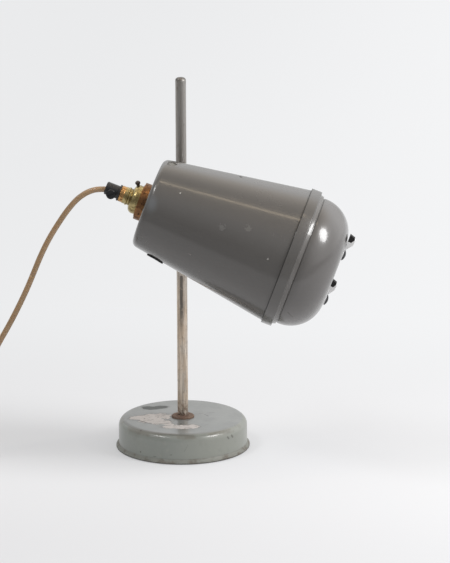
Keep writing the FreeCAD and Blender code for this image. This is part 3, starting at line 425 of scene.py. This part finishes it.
def build_scratch():
    """A thin line from one point to another that wavers a little and breaks up."""
    tree, given, result = effect_group(
        "fine_scratch",
        (("From", VECTOR, (0, 0, 0)), ("To", VECTOR, (0.01, 0, 0)), ("Width", FLOAT, 0.0005),
         ("Waver", FLOAT, 0.002), ("Grain", FLOAT, 120.0)),
        "Mask",
    )
    noise = put(
        tree, "ShaderNodeTexNoise", {"Vector": given["Position"], "Scale": given["Grain"], "Detail": 2.0}
    ).outputs
    centred = vector_of(tree, "SUBTRACT", noise["Color"], (0.5, 0.5, 0.5))
    push = vector_of(tree, "SCALE", centred, Scale=given["Waver"])
    moved = vector_of(tree, "ADD", given["Position"], push)
    from_start = vector_of(tree, "SUBTRACT", moved, given["From"])
    run = vector_of(tree, "SUBTRACT", given["To"], given["From"])
    along = vector_of(tree, "DOT_PRODUCT", from_start, run)
    share = sum_of(tree, "DIVIDE", along, vector_of(tree, "DOT_PRODUCT", run, run), clamp=True)
    gap = vector_of(tree, "DISTANCE", from_start, vector_of(tree, "SCALE", run, Scale=share))
    line = ramp(tree, sum_of(tree, "DIVIDE", gap, given["Width"]), 1.0, 0.4)
    feed(tree, sum_of(tree, "MULTIPLY", line, ramp(tree, noise["Fac"], 0.3, 0.45)), result["Mask"])
    return tree


def build_chips():
    """Small scattered chips and specks."""
    tree, given, result = effect_group(
        "small_chips", (("Scale", FLOAT, 120.0), ("Size", FLOAT, 0.12), ("Share", FLOAT, 0.25)), "Mask"
    )
    bend = put(tree, "ShaderNodeTexNoise", {"Vector": given["Position"], "Scale": 700.0, "Detail": 2.0})
    push = vector_of(tree, "MULTIPLY", bend.outputs["Color"], (0.0016, 0.0016, 0.0016))
    moved = vector_of(tree, "ADD", given["Position"], push)
    values = {"Vector": moved, "Scale": given["Scale"]}
    cells = put(tree, "ShaderNodeTexVoronoi", values, feature="F1").outputs
    small = sum_of(tree, "LESS_THAN", cells["Distance"], given["Size"])
    draw = put(tree, "ShaderNodeSeparateColor", {0: cells["Color"]}).outputs[0]
    chosen = sum_of(tree, "LESS_THAN", draw, given["Share"])
    feed(tree, sum_of(tree, "MULTIPLY", small, chosen), result["Mask"])
    return tree


def build_cloud():
    """Soft cloudy variation from 0 to 1 at a stretch and scale of its own."""
    tree, given, result = effect_group(
        "cloudy_tone",
        (("Stretch", VECTOR, (1, 1, 1)), ("Scale", FLOAT, 20.0), ("Low", FLOAT, 0.4), ("High", FLOAT, 0.65)),
        "Mask",
    )
    stretched = vector_of(tree, "MULTIPLY", given["Position"], given["Stretch"])
    noise = put(
        tree, "ShaderNodeTexNoise",
        {"Vector": stretched, "Scale": given["Scale"], "Detail": 6.0, "Roughness": 0.62},
    ).outputs["Fac"]
    feed(tree, ramp(tree, noise, given["Low"], given["High"]), result["Mask"])
    return tree


EFFECTS = {"oval": build_oval(), "scratch": build_scratch(), "chips": build_chips(), "cloud": build_cloud()}


class Finish:
    """A material under construction: a colour and a roughness that masks change step by step."""

    def __init__(self, name, colour, roughness, metallic=0.0, **plain):
        self.material = bpy.data.materials.new(name)
        self.material.use_nodes = True
        self.tree = self.material.node_tree
        self.shader = self.tree.nodes["Principled BSDF"].inputs
        self.shader["Metallic"].default_value = metallic
        for key, value in plain.items():
            self.shader[key.replace("_", " ")].default_value = value
        self.position = put(self.tree, "ShaderNodeTexCoord").outputs["Object"]
        self.colour = (*colour, 1)
        self.roughness = roughness
        self.normal = None

    def effect(self, name, output, **values):
        """The output of one of the shared effects, with its own values."""
        node = put(self.tree, "ShaderNodeGroup", node_tree=EFFECTS[name])
        for key, value in {"Position": self.position, **values}.items():
            feed(self.tree, value, node.inputs[key])
        return node.outputs[output]

    def cloud(self, scale, low, high, stretch=(1, 1, 1)):
        return self.effect("cloud", "Mask", Scale=scale, Low=low, High=high, Stretch=stretch)

    def scratch(self, start, end, width, waver=0.002, grain=120.0):
        return self.effect("scratch", "Mask", From=start, To=end, Width=width, Waver=waver, Grain=grain)

    def patch(self, ovals, ragged, grain, soft=0.1):
        """A patch of one or more ovals (place, size, turn) that run together, and the rim round it."""
        reach = None
        for place, size, turn in ovals:
            one = self.effect("oval", "Reach", Place=place, Size=size, Turn=turn, Ragged=ragged, Grain=grain)
            reach = one if reach is None else sum_of(self.tree, "MINIMUM", reach, one)
        inside = ramp(self.tree, reach, 1.0, 1.0 - soft)
        rim = sum_of(self.tree, "SUBTRACT", ramp(self.tree, reach, 1.0 + 2 * soft, 1.0), inside, clamp=True)
        return inside, rim

    def between(self, low, high, axis="Z"):
        """0 at low and 1 at high along an axis."""
        return ramp(self.tree, axes_of(self.tree, self.position)[axis], low, high)

    def along_head(self, low, high):
        """0 at low and 1 at high along the head's axis, from its rear face."""
        along = vector_of(self.tree, "DOT_PRODUCT", self.position, tuple(ALONG))
        distance = sum_of(self.tree, "SUBTRACT", along, head_point(0, 0, 0).dot(ALONG))
        return ramp(self.tree, distance, low, high)

    def inside_housing(self):
        """1 on the inner side of the housing's sheet, from past its rounded rear edge to the front cap."""
        offset = vector_of(self.tree, "SUBTRACT", self.position, tuple(head_point(0, 0, 0)))
        along = vector_of(self.tree, "DOT_PRODUCT", offset, tuple(ALONG))
        radius = vector_of(self.tree, "LENGTH", vector_of(self.tree, "CROSS_PRODUCT", offset, tuple(ALONG)))
        skin = sum_of(self.tree, "MULTIPLY_ADD", along, HEAD_SLOPE, HEAD_REAR_RADIUS)
        depth = sum_of(self.tree, "SUBTRACT", skin, radius)
        past_rear = ramp(self.tree, along, 0.0068, 0.0072)
        before_cap = ramp(self.tree, along, 0.163, 0.162)
        return self.both(ramp(self.tree, depth, 0.0008, 0.001), past_rear, before_cap)

    def both(self, *masks):
        """Where all the masks are 1."""
        joined = masks[0]
        for mask in masks[1:]:
            joined = sum_of(self.tree, "MULTIPLY", joined, mask)
        return joined

    def weaker(self, mask, strength):
        return sum_of(self.tree, "MULTIPLY", mask, strength) if strength < 1 else mask

    def tint(self, mask, colour, strength=1.0):
        """Lays a colour over the finish where the mask is 1."""
        self.colour = mix_of(self.tree, "RGBA", self.weaker(mask, strength), self.colour, (*colour, 1))

    def dull(self, mask, roughness, strength=1.0):
        """Sets another roughness where the mask is 1."""
        self.roughness = mix_of(self.tree, "FLOAT", self.weaker(mask, strength), self.roughness, roughness)

    def uncoat(self, mask, coat):
        """The clear coat's weight, taken off where the mask is 1."""
        left = sum_of(self.tree, "SUBTRACT", 1.0, mask, clamp=True)
        feed(self.tree, sum_of(self.tree, "MULTIPLY", left, coat), self.shader["Coat Weight"])

    def bump(self, height, distance, strength=1.0, invert=False):
        """Adds small relief to what the finish already has."""
        values = {"Height": height, "Distance": distance, "Strength": strength}
        if self.normal is not None:
            values["Normal"] = self.normal
        self.normal = put(self.tree, "ShaderNodeBump", values, invert=invert).outputs["Normal"]

    def done(self):
        feed(self.tree, self.colour, self.shader["Base Color"])
        feed(self.tree, self.roughness, self.shader["Roughness"])
        if self.normal is not None:
            feed(self.tree, self.normal, self.shader["Normal"])
        return self.material


# Marks on the base and the head
PATCH_DEPTH = 0.02
# Ovals on the base's flat top: x, y, half length, half width and turn
GRIME_PATCH = ((-0.035, -0.012, 0.038, 0.03, 0.3),)
WORN_PATCH = (
    (-0.047, -0.0095, 0.0155, 0.0085, -0.25),
    (-0.029, -0.003, 0.017, 0.0115, -0.1),
    (-0.034, -0.017, 0.0145, 0.012, -0.3),
    (-0.021, -0.026, 0.0125, 0.0065, -0.5),
    (-0.004, -0.0415, 0.0175, 0.0075, 0.05),
    (0.011, -0.0385, 0.0125, 0.008, -0.1),
    (-0.014, -0.031, 0.009, 0.005, 0.4),
)
DARK_PATCH = ((-0.041, 0.030, 0.011, 0.0075, 0.1), (-0.031, 0.034, 0.010, 0.0065, -0.2))
# Start, end and width
BASE_CRACKS = (
    ((-0.063, -0.018, BASE_TOP), (-0.045, -0.023, BASE_TOP), 0.0008),
    ((-0.045, -0.023, BASE_TOP), (-0.032, -0.033, BASE_TOP), 0.0010),
    ((-0.032, -0.033, BASE_TOP), (-0.018, -0.0295, BASE_TOP), 0.0008),
    ((-0.018, -0.0295, BASE_TOP), (0.009, -0.026, BASE_TOP), 0.0009),
    ((-0.020, -0.008, BASE_TOP), (-0.009, -0.023, BASE_TOP), 0.0007),
    ((0.013, 0.012, BASE_TOP), (0.034, 0.019, BASE_TOP), 0.0006),
    ((0.062, -0.026, 0.033), (0.067, -0.032, 0.032), 0.0016),
    ((0.024, 0.010, BASE_TOP), (0.029, 0.004, BASE_TOP), 0.0009),
    ((0.014, -0.0720, 0.023), (0.010, -0.0728, 0.015), 0.0005),
    ((0.0565, -0.047, 0.0255), (0.058, -0.0455, 0.0235), 0.0013),
    ((0.0605, -0.0415, 0.0255), (0.0615, -0.040, 0.0235), 0.0015),
    ((-0.030, -0.068, 0.006), (-0.004, -0.0735, 0.011), 0.0006),
)
# Place, radius and colour
HEAD_SPECKS = (
    ((0.0139, -0.1203, 0.3233), 0.0011, (0.42, 0.41, 0.38)),
    ((0.1118, -0.1488, 0.2595), 0.0012, (0.42, 0.41, 0.38)),
    ((0.0609, -0.1374, 0.2905), 0.0034, (0.115, 0.112, 0.105)),
    ((0.0895, -0.1380, 0.2901), 0.0036, (0.115, 0.11, 0.1)),
    ((0.0250, -0.1345, 0.2580), 0.0016, (0.17, 0.15, 0.14)),
)
# Start and end (across, side and along in the head's frame), width and colour
HEAD_SCARS = (
    ((-0.052, 0.056, 0.172), (-0.0535, 0.0545, 0.176), 0.0018, (0.045, 0.04, 0.035)),
    ((-0.044, 0.058, 0.187), (-0.049, 0.052, 0.194), 0.0010, (0.05, 0.045, 0.04)),
    ((-0.003, 0.068, 0.197), (-0.002, 0.062, 0.206), 0.0006, (0.42, 0.4, 0.38)),
)


# Finishes
def top_patch(paint, ovals, ragged, grain, soft):
    """A patch of ovals (x, y, half length, half width, turn) on the base's top, and the rim round it."""
    places = [((x, y, BASE_TOP), (length, width, PATCH_DEPTH), turn) for x, y, length, width, turn in ovals]
    return paint.patch(places, ragged, grain, soft)


def base_paint():
    """Grey-green enamel, worn on the top and darker, mottled brown at the foot, with painted light and
    shade.
    """
    paint = Finish("base_paint", (0.225, 0.24, 0.218), 0.3, Coat_Roughness=0.12)
    paint.tint(paint.cloud(14.0, 0.35, 0.7), (0.25, 0.26, 0.235), 0.7)
    # painted light: the enamel lighter towards +X, on the side the main soft box lights
    paint.tint(paint.between(-0.01, 0.05, "X"), (0.275, 0.28, 0.245), 0.6)
    paint.tint(paint.cloud(60.0, 0.5, 0.75), (0.18, 0.19, 0.17), 0.4)
    paint.tint(paint.cloud(150.0, 0.55, 0.7), (0.3, 0.29, 0.26), 0.25)
    top = paint.between(0.0325, 0.0337)
    paint.tint(top, (0.245, 0.252, 0.246), 0.85)
    paint.tint(paint.both(top, paint.cloud(30.0, 0.42, 0.6)), (0.18, 0.19, 0.185), 0.55)
    grime = paint.both(top, top_patch(paint, GRIME_PATCH, 0.5, 40.0, 0.6)[0])
    paint.tint(paint.both(grime, paint.cloud(110.0, 0.45, 0.58)), (0.15, 0.15, 0.14), 0.65)
    inside, rim = [paint.both(mask, top) for mask in top_patch(paint, WORN_PATCH, 0.75, 130.0, 0.12)]
    paint.tint(inside, (0.66, 0.61, 0.575), 0.95)
    paint.tint(paint.both(inside, paint.cloud(220.0, 0.5, 0.62)), (0.33, 0.3, 0.28), 0.6)
    paint.tint(rim, (0.13, 0.125, 0.11), 0.7)
    paint.bump(inside, 0.0002, 0.6, invert=True)
    dark, edge = [paint.both(mask, top) for mask in top_patch(paint, DARK_PATCH, 0.6, 90.0, 0.15)]
    paint.tint(dark, (0.06, 0.067, 0.063), 0.9)
    paint.dull(dark, 0.75)
    paint.tint(edge, (0.07, 0.07, 0.065), 0.6)
    for start, end, width in BASE_CRACKS:
        strength = 0.95 if start[2] == BASE_TOP else 0.6  # fainter off the flat top
        paint.tint(paint.scratch(start, end, width), (0.06, 0.055, 0.048), strength)
    shoulder = paint.both(paint.between(0.0275, 0.0305), paint.between(0.0336, 0.0325))
    paint.tint(paint.both(shoulder, paint.cloud(38.0, 0.42, 0.6)), (0.15, 0.135, 0.11), 0.6)
    # painted dark reflection along the front-left edge of the base's flat top
    top_edge_dark_reflection = paint.both(paint.between(0.0318, 0.0328), paint.between(0.03395, 0.0336))
    front_left = paint.both(paint.between(0.03, -0.01, "X"), paint.between(-0.01, -0.03, "Y"))
    paint.tint(paint.both(top_edge_dark_reflection, front_left), (0.1, 0.1, 0.088), 0.6)
    chips = paint.effect("chips", "Mask", Scale=70.0, Size=0.09, Share=0.2)
    paint.tint(chips, (0.08, 0.075, 0.065), 0.7)
    # darker and mottled brown towards the foot
    foot = paint.between(0.0068, 0.0045)
    paint.tint(foot, (0.17, 0.165, 0.145), 0.45)
    paint.tint(paint.both(foot, paint.cloud(70.0, 0.45, 0.6)), (0.1, 0.075, 0.055), 0.6)
    # painted shade: a dark line along the lip's lowest edge, by the floor
    lip = paint.between(0.0019, 0.0011)
    paint.tint(lip, (0.035, 0.03, 0.026), 0.9)
    paint.dull(paint.cloud(26.0, 0.45, 0.7), 0.42, 0.6)
    for mask, roughness in ((inside, 0.65), (chips, 0.7), (foot, 0.6), (lip, 0.85)):
        paint.dull(mask, roughness)
    paint.uncoat(sum_of(paint.tree, "MAXIMUM", foot, inside), 0.25)
    paint.bump(paint.cloud(160.0, 0.3, 0.7), 0.0002, 0.25)
    return paint.done()


def head_paint():
    """Glossy warm grey enamel with a few specks and scars, the light lining inside the housing, and painted
    light and shade.
    """
    paint = Finish("head_paint", (0.085, 0.080, 0.0755), 0.24, Coat_Weight=0.4, Coat_Roughness=0.06)
    paint.tint(paint.cloud(9.0, 0.35, 0.7), (0.092, 0.087, 0.082), 0.6)
    paint.tint(paint.cloud(70.0, 0.5, 0.8), (0.07, 0.0665, 0.063), 0.3)
    # painted light: the dome of the cap lighter where it faces the right-hand soft box
    paint.tint(paint.along_head(0.176, 0.19), (0.118, 0.111, 0.107), 0.85)
    # painted reflection: a soft bluish window glow on the near side by the rear edge
    window_glow, _ = paint.patch(((head_point(0.012, 0.049, 0.007), (0.009, 0.03, 0.013), 0.0),), 0.3, 40.0, 0.9)
    paint.tint(window_glow, (0.14, 0.15, 0.16), 0.6)
    for place, size, colour in HEAD_SPECKS:
        spot, _ = paint.patch(((place, (size, 0.004, size), 0.0),), 1.9, 520.0, 0.3)
        paint.tint(spot, colour, 0.75)
        paint.dull(spot, 0.55)
    for start, end, width, colour in HEAD_SCARS:
        scar = paint.scratch(head_point(*start), head_point(*end), width, 0.0008, 300.0)
        paint.tint(scar, colour, 0.75)
    # dirt and painted shade: a dark line along the seam where the cap's skirt overlaps the housing
    joint = paint.both(paint.along_head(0.1626, 0.1633), paint.along_head(0.1643, 0.1638))
    paint.tint(joint, (0.012, 0.011, 0.010), 0.9)
    paint.dull(joint, 0.7)
    # painted highlight along the cap's sloping land
    land = paint.both(paint.along_head(0.1752, 0.1758), paint.along_head(0.1797, 0.1791))
    paint.tint(land, (0.15, 0.14, 0.132), 0.55)
    lining = paint.inside_housing()
    paint.tint(lining, (0.6, 0.59, 0.55), 0.95)
    paint.dull(paint.cloud(24.0, 0.5, 0.7), 0.32, 0.6)
    paint.dull(lining, 0.55)
    paint.bump(paint.cloud(110.0, 0.2, 0.8), 0.0003, 0.12)
    paint.bump(paint.cloud(900.0, 0.2, 0.8), 0.00003, 0.2)
    return paint.done()


def rod_steel():
    """Bare steel, streaked along the rod, rusty at the foot, dark on the dome, with a painted dark
    reflection under the head.
    """
    steel = Finish("rod_steel", (0.36, 0.345, 0.325), 0.32, metallic=0.85)
    low = steel.between(0.30, 0.12)
    steel.tint(low, (0.78, 0.68, 0.57), 0.85)
    streaks = steel.cloud(420.0, 0.42, 0.62, (1, 1, 0.06))
    steel.tint(streaks, (0.27, 0.245, 0.22), 0.55)
    specks = steel.cloud(300.0, 0.55, 0.7, (1, 1, 0.5))
    steel.tint(specks, (0.16, 0.13, 0.105), 0.45)
    steel.tint(steel.both(low, steel.cloud(120.0, 0.4, 0.62, (1, 1, 0.3))), (0.52, 0.39, 0.27), 0.6)
    steel.tint(steel.both(low, steel.cloud(520.0, 0.58, 0.68)), (0.15, 0.1, 0.07), 0.5)
    steel.tint(steel.both(steel.between(0.06, 0.036), steel.cloud(260.0, 0.4, 0.6)), (0.12, 0.06, 0.04), 0.8)
    # painted dark reflection: a dark stripe down the front of the rod below the head
    rod_dark_reflection = steel.scratch((0, -ROD_RADIUS, 0.2), (0, -ROD_RADIUS, 0.12), 0.0026)
    steel.tint(steel.both(rod_dark_reflection, steel.between(0.13, 0.165)), (0.12, 0.11, 0.1), 0.85)
    dome = steel.between(0.4245, 0.4262)
    steel.tint(dome, (0.13, 0.122, 0.115), 0.8)
    steel.dull(streaks, 0.45)
    steel.dull(steel.between(0.15, 0.1), 0.5, 0.7)
    steel.dull(dome, 0.5)
    steel.bump(specks, 0.0002, 0.3, invert=True)
    return steel.done()


def rusty_steel():
    """Brown rusty steel."""
    rust = Finish("rusty_steel", (0.13, 0.08, 0.058), 0.72, metallic=0.1)
    rust.tint(rust.cloud(180.0, 0.45, 0.62), (0.21, 0.13, 0.09), 0.8)
    rust.tint(rust.cloud(500.0, 0.52, 0.66), (0.24, 0.16, 0.11), 0.5)
    # painted light: the flange lighter towards +X, on its lit side
    rust.tint(rust.between(0.004, 0.011, "X"), (0.3, 0.21, 0.15), 0.35)
    rust.bump(rust.cloud(400.0, 0.3, 0.7), 0.0004, 0.6)
    return rust.done()


def aged_metal(name, bright, dark, roughness, scale=160.0, grime=None):
    """Bare metal with a darker patina, and spots of grime where a colour is given for them."""
    metal = Finish(name, bright, roughness, metallic=1.0)
    patina = metal.cloud(scale, 0.42, 0.68)
    metal.tint(patina, dark, 0.8)
    if grime:
        spots = metal.cloud(scale * 2.6, 0.54, 0.66)
        metal.tint(spots, grime, 0.75)
        metal.dull(spots, 0.7)
    metal.dull(patina, min(roughness + 0.2, 1))
    metal.bump(metal.cloud(scale * 3, 0.3, 0.7), 0.0002, 0.15)
    return metal.done()


def moulded(name, colour, roughness, second=None, grain=600.0, coat=0.0):
    """A plain material, such as plastic or paint, that varies a little towards a second colour."""
    plastic = Finish(name, colour, roughness, Coat_Weight=coat)
    second = second or tuple(c * 0.8 for c in colour)
    plastic.tint(plastic.cloud(70.0, 0.35, 0.7), second, 0.5)
    plastic.dull(plastic.cloud(120.0, 0.5, 0.7), min(roughness + 0.15, 1), 0.6)
    plastic.bump(plastic.cloud(grain, 0.3, 0.7), 0.0001, 0.15)
    return plastic.done()


def clear_glass(name):
    """Clear glass."""
    return Finish(name, (0.95, 0.96, 0.96), 0.03, Transmission_Weight=1.0, IOR=1.45).done()


def cord_sheath():
    """Gold-tan sheathing, slightly soft in the light."""
    sheath = Finish(
        "cord_sheath", (0.335, 0.215, 0.115), 0.34, Coat_Weight=0.2,
        Subsurface_Weight=0.25, Subsurface_Scale=0.003, Subsurface_Radius=(1.0, 0.6, 0.3),
    )
    sheath.tint(sheath.cloud(28.0, 0.35, 0.7), (0.28, 0.18, 0.095), 0.7)
    sheath.tint(sheath.cloud(260.0, 0.5, 0.75), (0.43, 0.31, 0.18), 0.2)
    sheath.tint(sheath.cloud(90.0, 0.58, 0.7), (0.2, 0.13, 0.07), 0.4)
    sheath.bump(sheath.cloud(500.0, 0.3, 0.7), 0.0001, 0.1)
    return sheath.done()


def felt_cloth():
    """Green felt."""
    felt = Finish("felt_cloth", (0.03, 0.07, 0.045), 0.95, Sheen_Weight=0.3)
    fibres = felt.cloud(900.0, 0.4, 0.65)
    felt.tint(fibres, (0.05, 0.1, 0.065), 0.7)
    felt.bump(fibres, 0.0004, 0.6)
    return felt.done()


def finish_nodes(cord_pieces, cap_shell, button, hole_plug):
    """Gives each CAD node and each new piece its finish."""
    brass = aged_metal("aged_brass", (0.43, 0.35, 0.17), (0.2, 0.14, 0.055), 0.24, grime=(0.06, 0.04, 0.02))
    screw_brass = aged_metal("screw_brass", (0.5, 0.38, 0.16), (0.3, 0.21, 0.08), 0.3)
    steel = aged_metal("dull_steel", (0.45, 0.45, 0.45), (0.28, 0.27, 0.26), 0.38)
    head = head_paint()
    black = moulded("black_plastic", (0.012, 0.012, 0.014), 0.38)
    rubber = moulded("black_rubber", (0.009, 0.009, 0.009), 0.7)
    blackened = moulded("blackened_steel", (0.006, 0.006, 0.008), 0.5)
    ivory = moulded("ivory_plastic", (0.66, 0.62, 0.5), 0.32, coat=0.2)
    glass = clear_glass("clear_glass")
    bright = moulded("bright_spring_metal", (0.8, 0.8, 0.8), 0.3, second=(0.7, 0.7, 0.7), coat=0.5)
    copper = aged_metal(
        "copper_brown", (0.27, 0.135, 0.06), (0.12, 0.065, 0.04), 0.3, grime=(0.045, 0.028, 0.02)
    )
    dark_button = moulded("dark_button", (0.035, 0.02, 0.016), 0.33, coat=0.3)
    chosen = {
        "base_cover": base_paint(),
        "base_weight": moulded("cast_iron", (0.03, 0.03, 0.03), 0.8, grain=300.0),
        "base_felt": felt_cloth(),
        "rod": rod_steel(),
        "foot_flange": rusty_steel(),
        "stop_collar": steel, "rod_washer": steel, "rod_nut": steel, "pivot_bolt": steel,
        "spring_washer": steel, "inner_saddle": steel, "window_ring": steel, "clip_nuts": steel,
        "plug_screw": steel,
        "collar_screw": screw_brass, "clamp_screw": screw_brass, "clamp_pad": screw_brass,
        "contact_plungers": screw_brass, "bulb_cap": screw_brass, "plug_pins": screw_brass,
        "holder_body": brass, "holder_cap": brass,
        "clamp_block": blackened, "pivot_saddle": blackened, "clip_screws": blackened,
        "cord_grip_screw": blackened,
        "friction_washer": moulded("fibre_washer", (0.1, 0.04, 0.025), 0.8),
        "lamp_housing": head, "front_cap": head,
        "window_glass": glass, "bulb_glass": glass, "bulb_stem": glass,
        "clip_arm_upper": bright, "clip_arm_lower": bright,
        "clip_pad_upper": rubber, "clip_pad_lower": rubber, "vent_grommet": rubber,
        "cord_grip": black, "coil_tie": black,
        "shade_ring": copper, "inner_ring": copper,
        "holder_insert": moulded("white_ceramic", (0.6, 0.58, 0.53), 0.3),
        "switch_button": dark_button,
        "grip_collar": aged_metal(
            "red_brass", (0.55, 0.32, 0.13), (0.3, 0.15, 0.06), 0.28, grime=(0.1, 0.05, 0.03)
        ),
        "cord_cores": moulded("brown_core", (0.12, 0.04, 0.02), 0.5),
        "bulb_filament": aged_metal("tungsten", (0.2, 0.2, 0.2), (0.1, 0.1, 0.1), 0.5),
        "plug_cover": ivory, "plug_base": ivory,
        "plug_fuse": moulded("fuse_body", (0.5, 0.5, 0.47), 0.4),
    }
    for name, material in chosen.items():
        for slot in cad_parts[name].material_slots:
            slot.material = material
    sheath = cord_sheath()
    for piece in cord_pieces:
        piece.data.materials.append(sheath)
    cap_shell.data.materials.append(head)
    button.data.materials.append(dark_button)
    hole_plug.data.materials.append(moulded("plug_paint", (0.15, 0.145, 0.13), 0.5))


# Studio
def set_floor():
    """A pale floor that keeps the shadows near the lamp and turns into an even pale backdrop behind it."""
    bpy.ops.object.select_all(action="DESELECT")
    bpy.ops.mesh.primitive_plane_add(size=24, location=(0, 0, 0))
    floor = bpy.context.object
    floor.name = "studio_floor"
    material = bpy.data.materials.new("pale_floor")
    material.use_nodes = True
    tree = material.node_tree
    shader = tree.nodes["Principled BSDF"]
    shader.inputs["Roughness"].default_value = 0.9
    shader.inputs["Specular IOR Level"].default_value = 0.1
    axes = axes_of(tree, put(tree, "ShaderNodeTexCoord").outputs["Object"])
    rays = put(tree, "ShaderNodeLightPath").outputs

    # The floor's own colour, dark in front where the lamp's metal mirrors it
    behind, before, mirrored = (0.79, 0.79, 0.805, 1), (0.71, 0.71, 0.725, 1), (0.12, 0.12, 0.12, 1)
    near = mix_of(tree, "RGBA", ramp(tree, axes["Y"], -0.1, -0.4), behind, before)
    dark = sum_of(tree, "MULTIPLY", ramp(tree, axes["Y"], -0.62, -0.85), rays["Is Glossy Ray"])
    feed(tree, mix_of(tree, "RGBA", dark, near, mirrored), shader.inputs["Base Color"])

    # The backdrop, seen directly, mirrored and through glass, but throwing no light on the lamp
    left, right = (0.825, 0.83, 0.84, 1), (0.92, 0.925, 0.935, 1)
    tone = mix_of(tree, "RGBA", ramp(tree, axes["X"], -0.6, 0.6), left, right)
    backdrop = put(tree, "ShaderNodeEmission", {"Color": tone})
    seen = sum_of(tree, "MAXIMUM", rays["Is Camera Ray"], rays["Is Glossy Ray"])
    seen = sum_of(tree, "MAXIMUM", seen, rays["Is Transmission Ray"])
    far = sum_of(tree, "MULTIPLY_ADD", ramp(tree, axes["Y"], 0.0, 0.6), 0.7, 0.3)
    share = sum_of(tree, "MULTIPLY", far, seen)
    blend = put(tree, "ShaderNodeMixShader", {0: share, 1: shader.outputs[0], 2: backdrop.outputs[0]})
    output = next(node for node in tree.nodes if node.type == "OUTPUT_MATERIAL")
    feed(tree, blend.outputs[0], output.inputs["Surface"])
    floor.data.materials.append(material)


def soft_light(
    name, target, azimuth, elevation, distance, size, brightness, colour=(1, 1, 1), shape="RECTANGLE"
):
    """A soft box that faces a target from an azimuth (0 is the front, 90 is +X) and an elevation."""
    az, el = math.radians(azimuth), math.radians(elevation)
    way = Vector((math.sin(az) * math.cos(el), -math.cos(az) * math.cos(el), math.sin(el)))
    data = bpy.data.lights.new(name, "AREA")
    data.shape = shape
    data.size, data.size_y = size
    data.energy = brightness * math.pi * size[0] * size[1]
    data.color = colour
    light = bpy.data.objects.new(name, data)
    scene.collection.objects.link(light)
    light.location = Vector(target) + way * distance
    light.rotation_euler = (-way).to_track_quat("-Z", "Y").to_euler()


def set_studio():
    """Soft surroundings, brighter above, behind and to the right for reflections, and three soft boxes."""
    world = bpy.data.worlds.new("studio")
    scene.world = world
    world.use_nodes = True
    tree = world.node_tree
    background = tree.nodes["Background"].inputs
    axes = axes_of(tree, put(tree, "ShaderNodeTexCoord").outputs["Generated"])
    rays = put(tree, "ShaderNodeLightPath").outputs
    high = ramp(tree, axes["Z"], 0.0, 0.9)
    back = ramp(tree, axes["Y"], 0.0, 0.75)
    right = ramp(tree, axes["X"], 0.25, 0.95)
    light = sum_of(tree, "MULTIPLY_ADD", high, 0.38, 0.21)
    light = sum_of(tree, "MULTIPLY_ADD", right, 0.9, light)
    rise = sum_of(tree, "MULTIPLY_ADD", high, 0.66, 0.44)
    mirrored = sum_of(tree, "MULTIPLY_ADD", back, rise, light)
    diffuse, direct = 0.56, 0.9
    indirect = mix_of(tree, "FLOAT", rays["Is Glossy Ray"], diffuse, mirrored)
    seen = sum_of(tree, "MAXIMUM", rays["Is Camera Ray"], rays["Is Transmission Ray"])
    feed(tree, mix_of(tree, "FLOAT", seen, indirect, direct), background["Strength"])
    neutral, warm = (1, 1, 1, 1), (1, 0.9, 0.78, 1)
    overhead = sum_of(tree, "MULTIPLY", ramp(tree, axes["Z"], 0.55, 0.9), rays["Is Glossy Ray"])
    feed(tree, mix_of(tree, "RGBA", overhead, neutral, warm), background["Color"])
    middle = (0.05, -0.06, 0.2)
    soft_light("right_box", middle, 74, 40, 1.6, (0.55, 0.75), 13.3, shape="ELLIPSE")
    soft_light("left_box", middle, -58, 54, 1.6, (0.6, 0.24), 11.0)
    soft_light("top_strip", (0.1, -0.12, 0.3), 24, 79, 1.5, (1.2, 0.09), 4.6, colour=(1.0, 0.82, 0.58))


set_camera()
cord_pieces = make_cord()
cap_shell = make_cap_shell()
button = make_button()
hole_plug = make_hole_plug()
finish_nodes(cord_pieces, cap_shell, button, hole_plug)
set_floor()
set_studio()

bpy.context.view_layer.update()
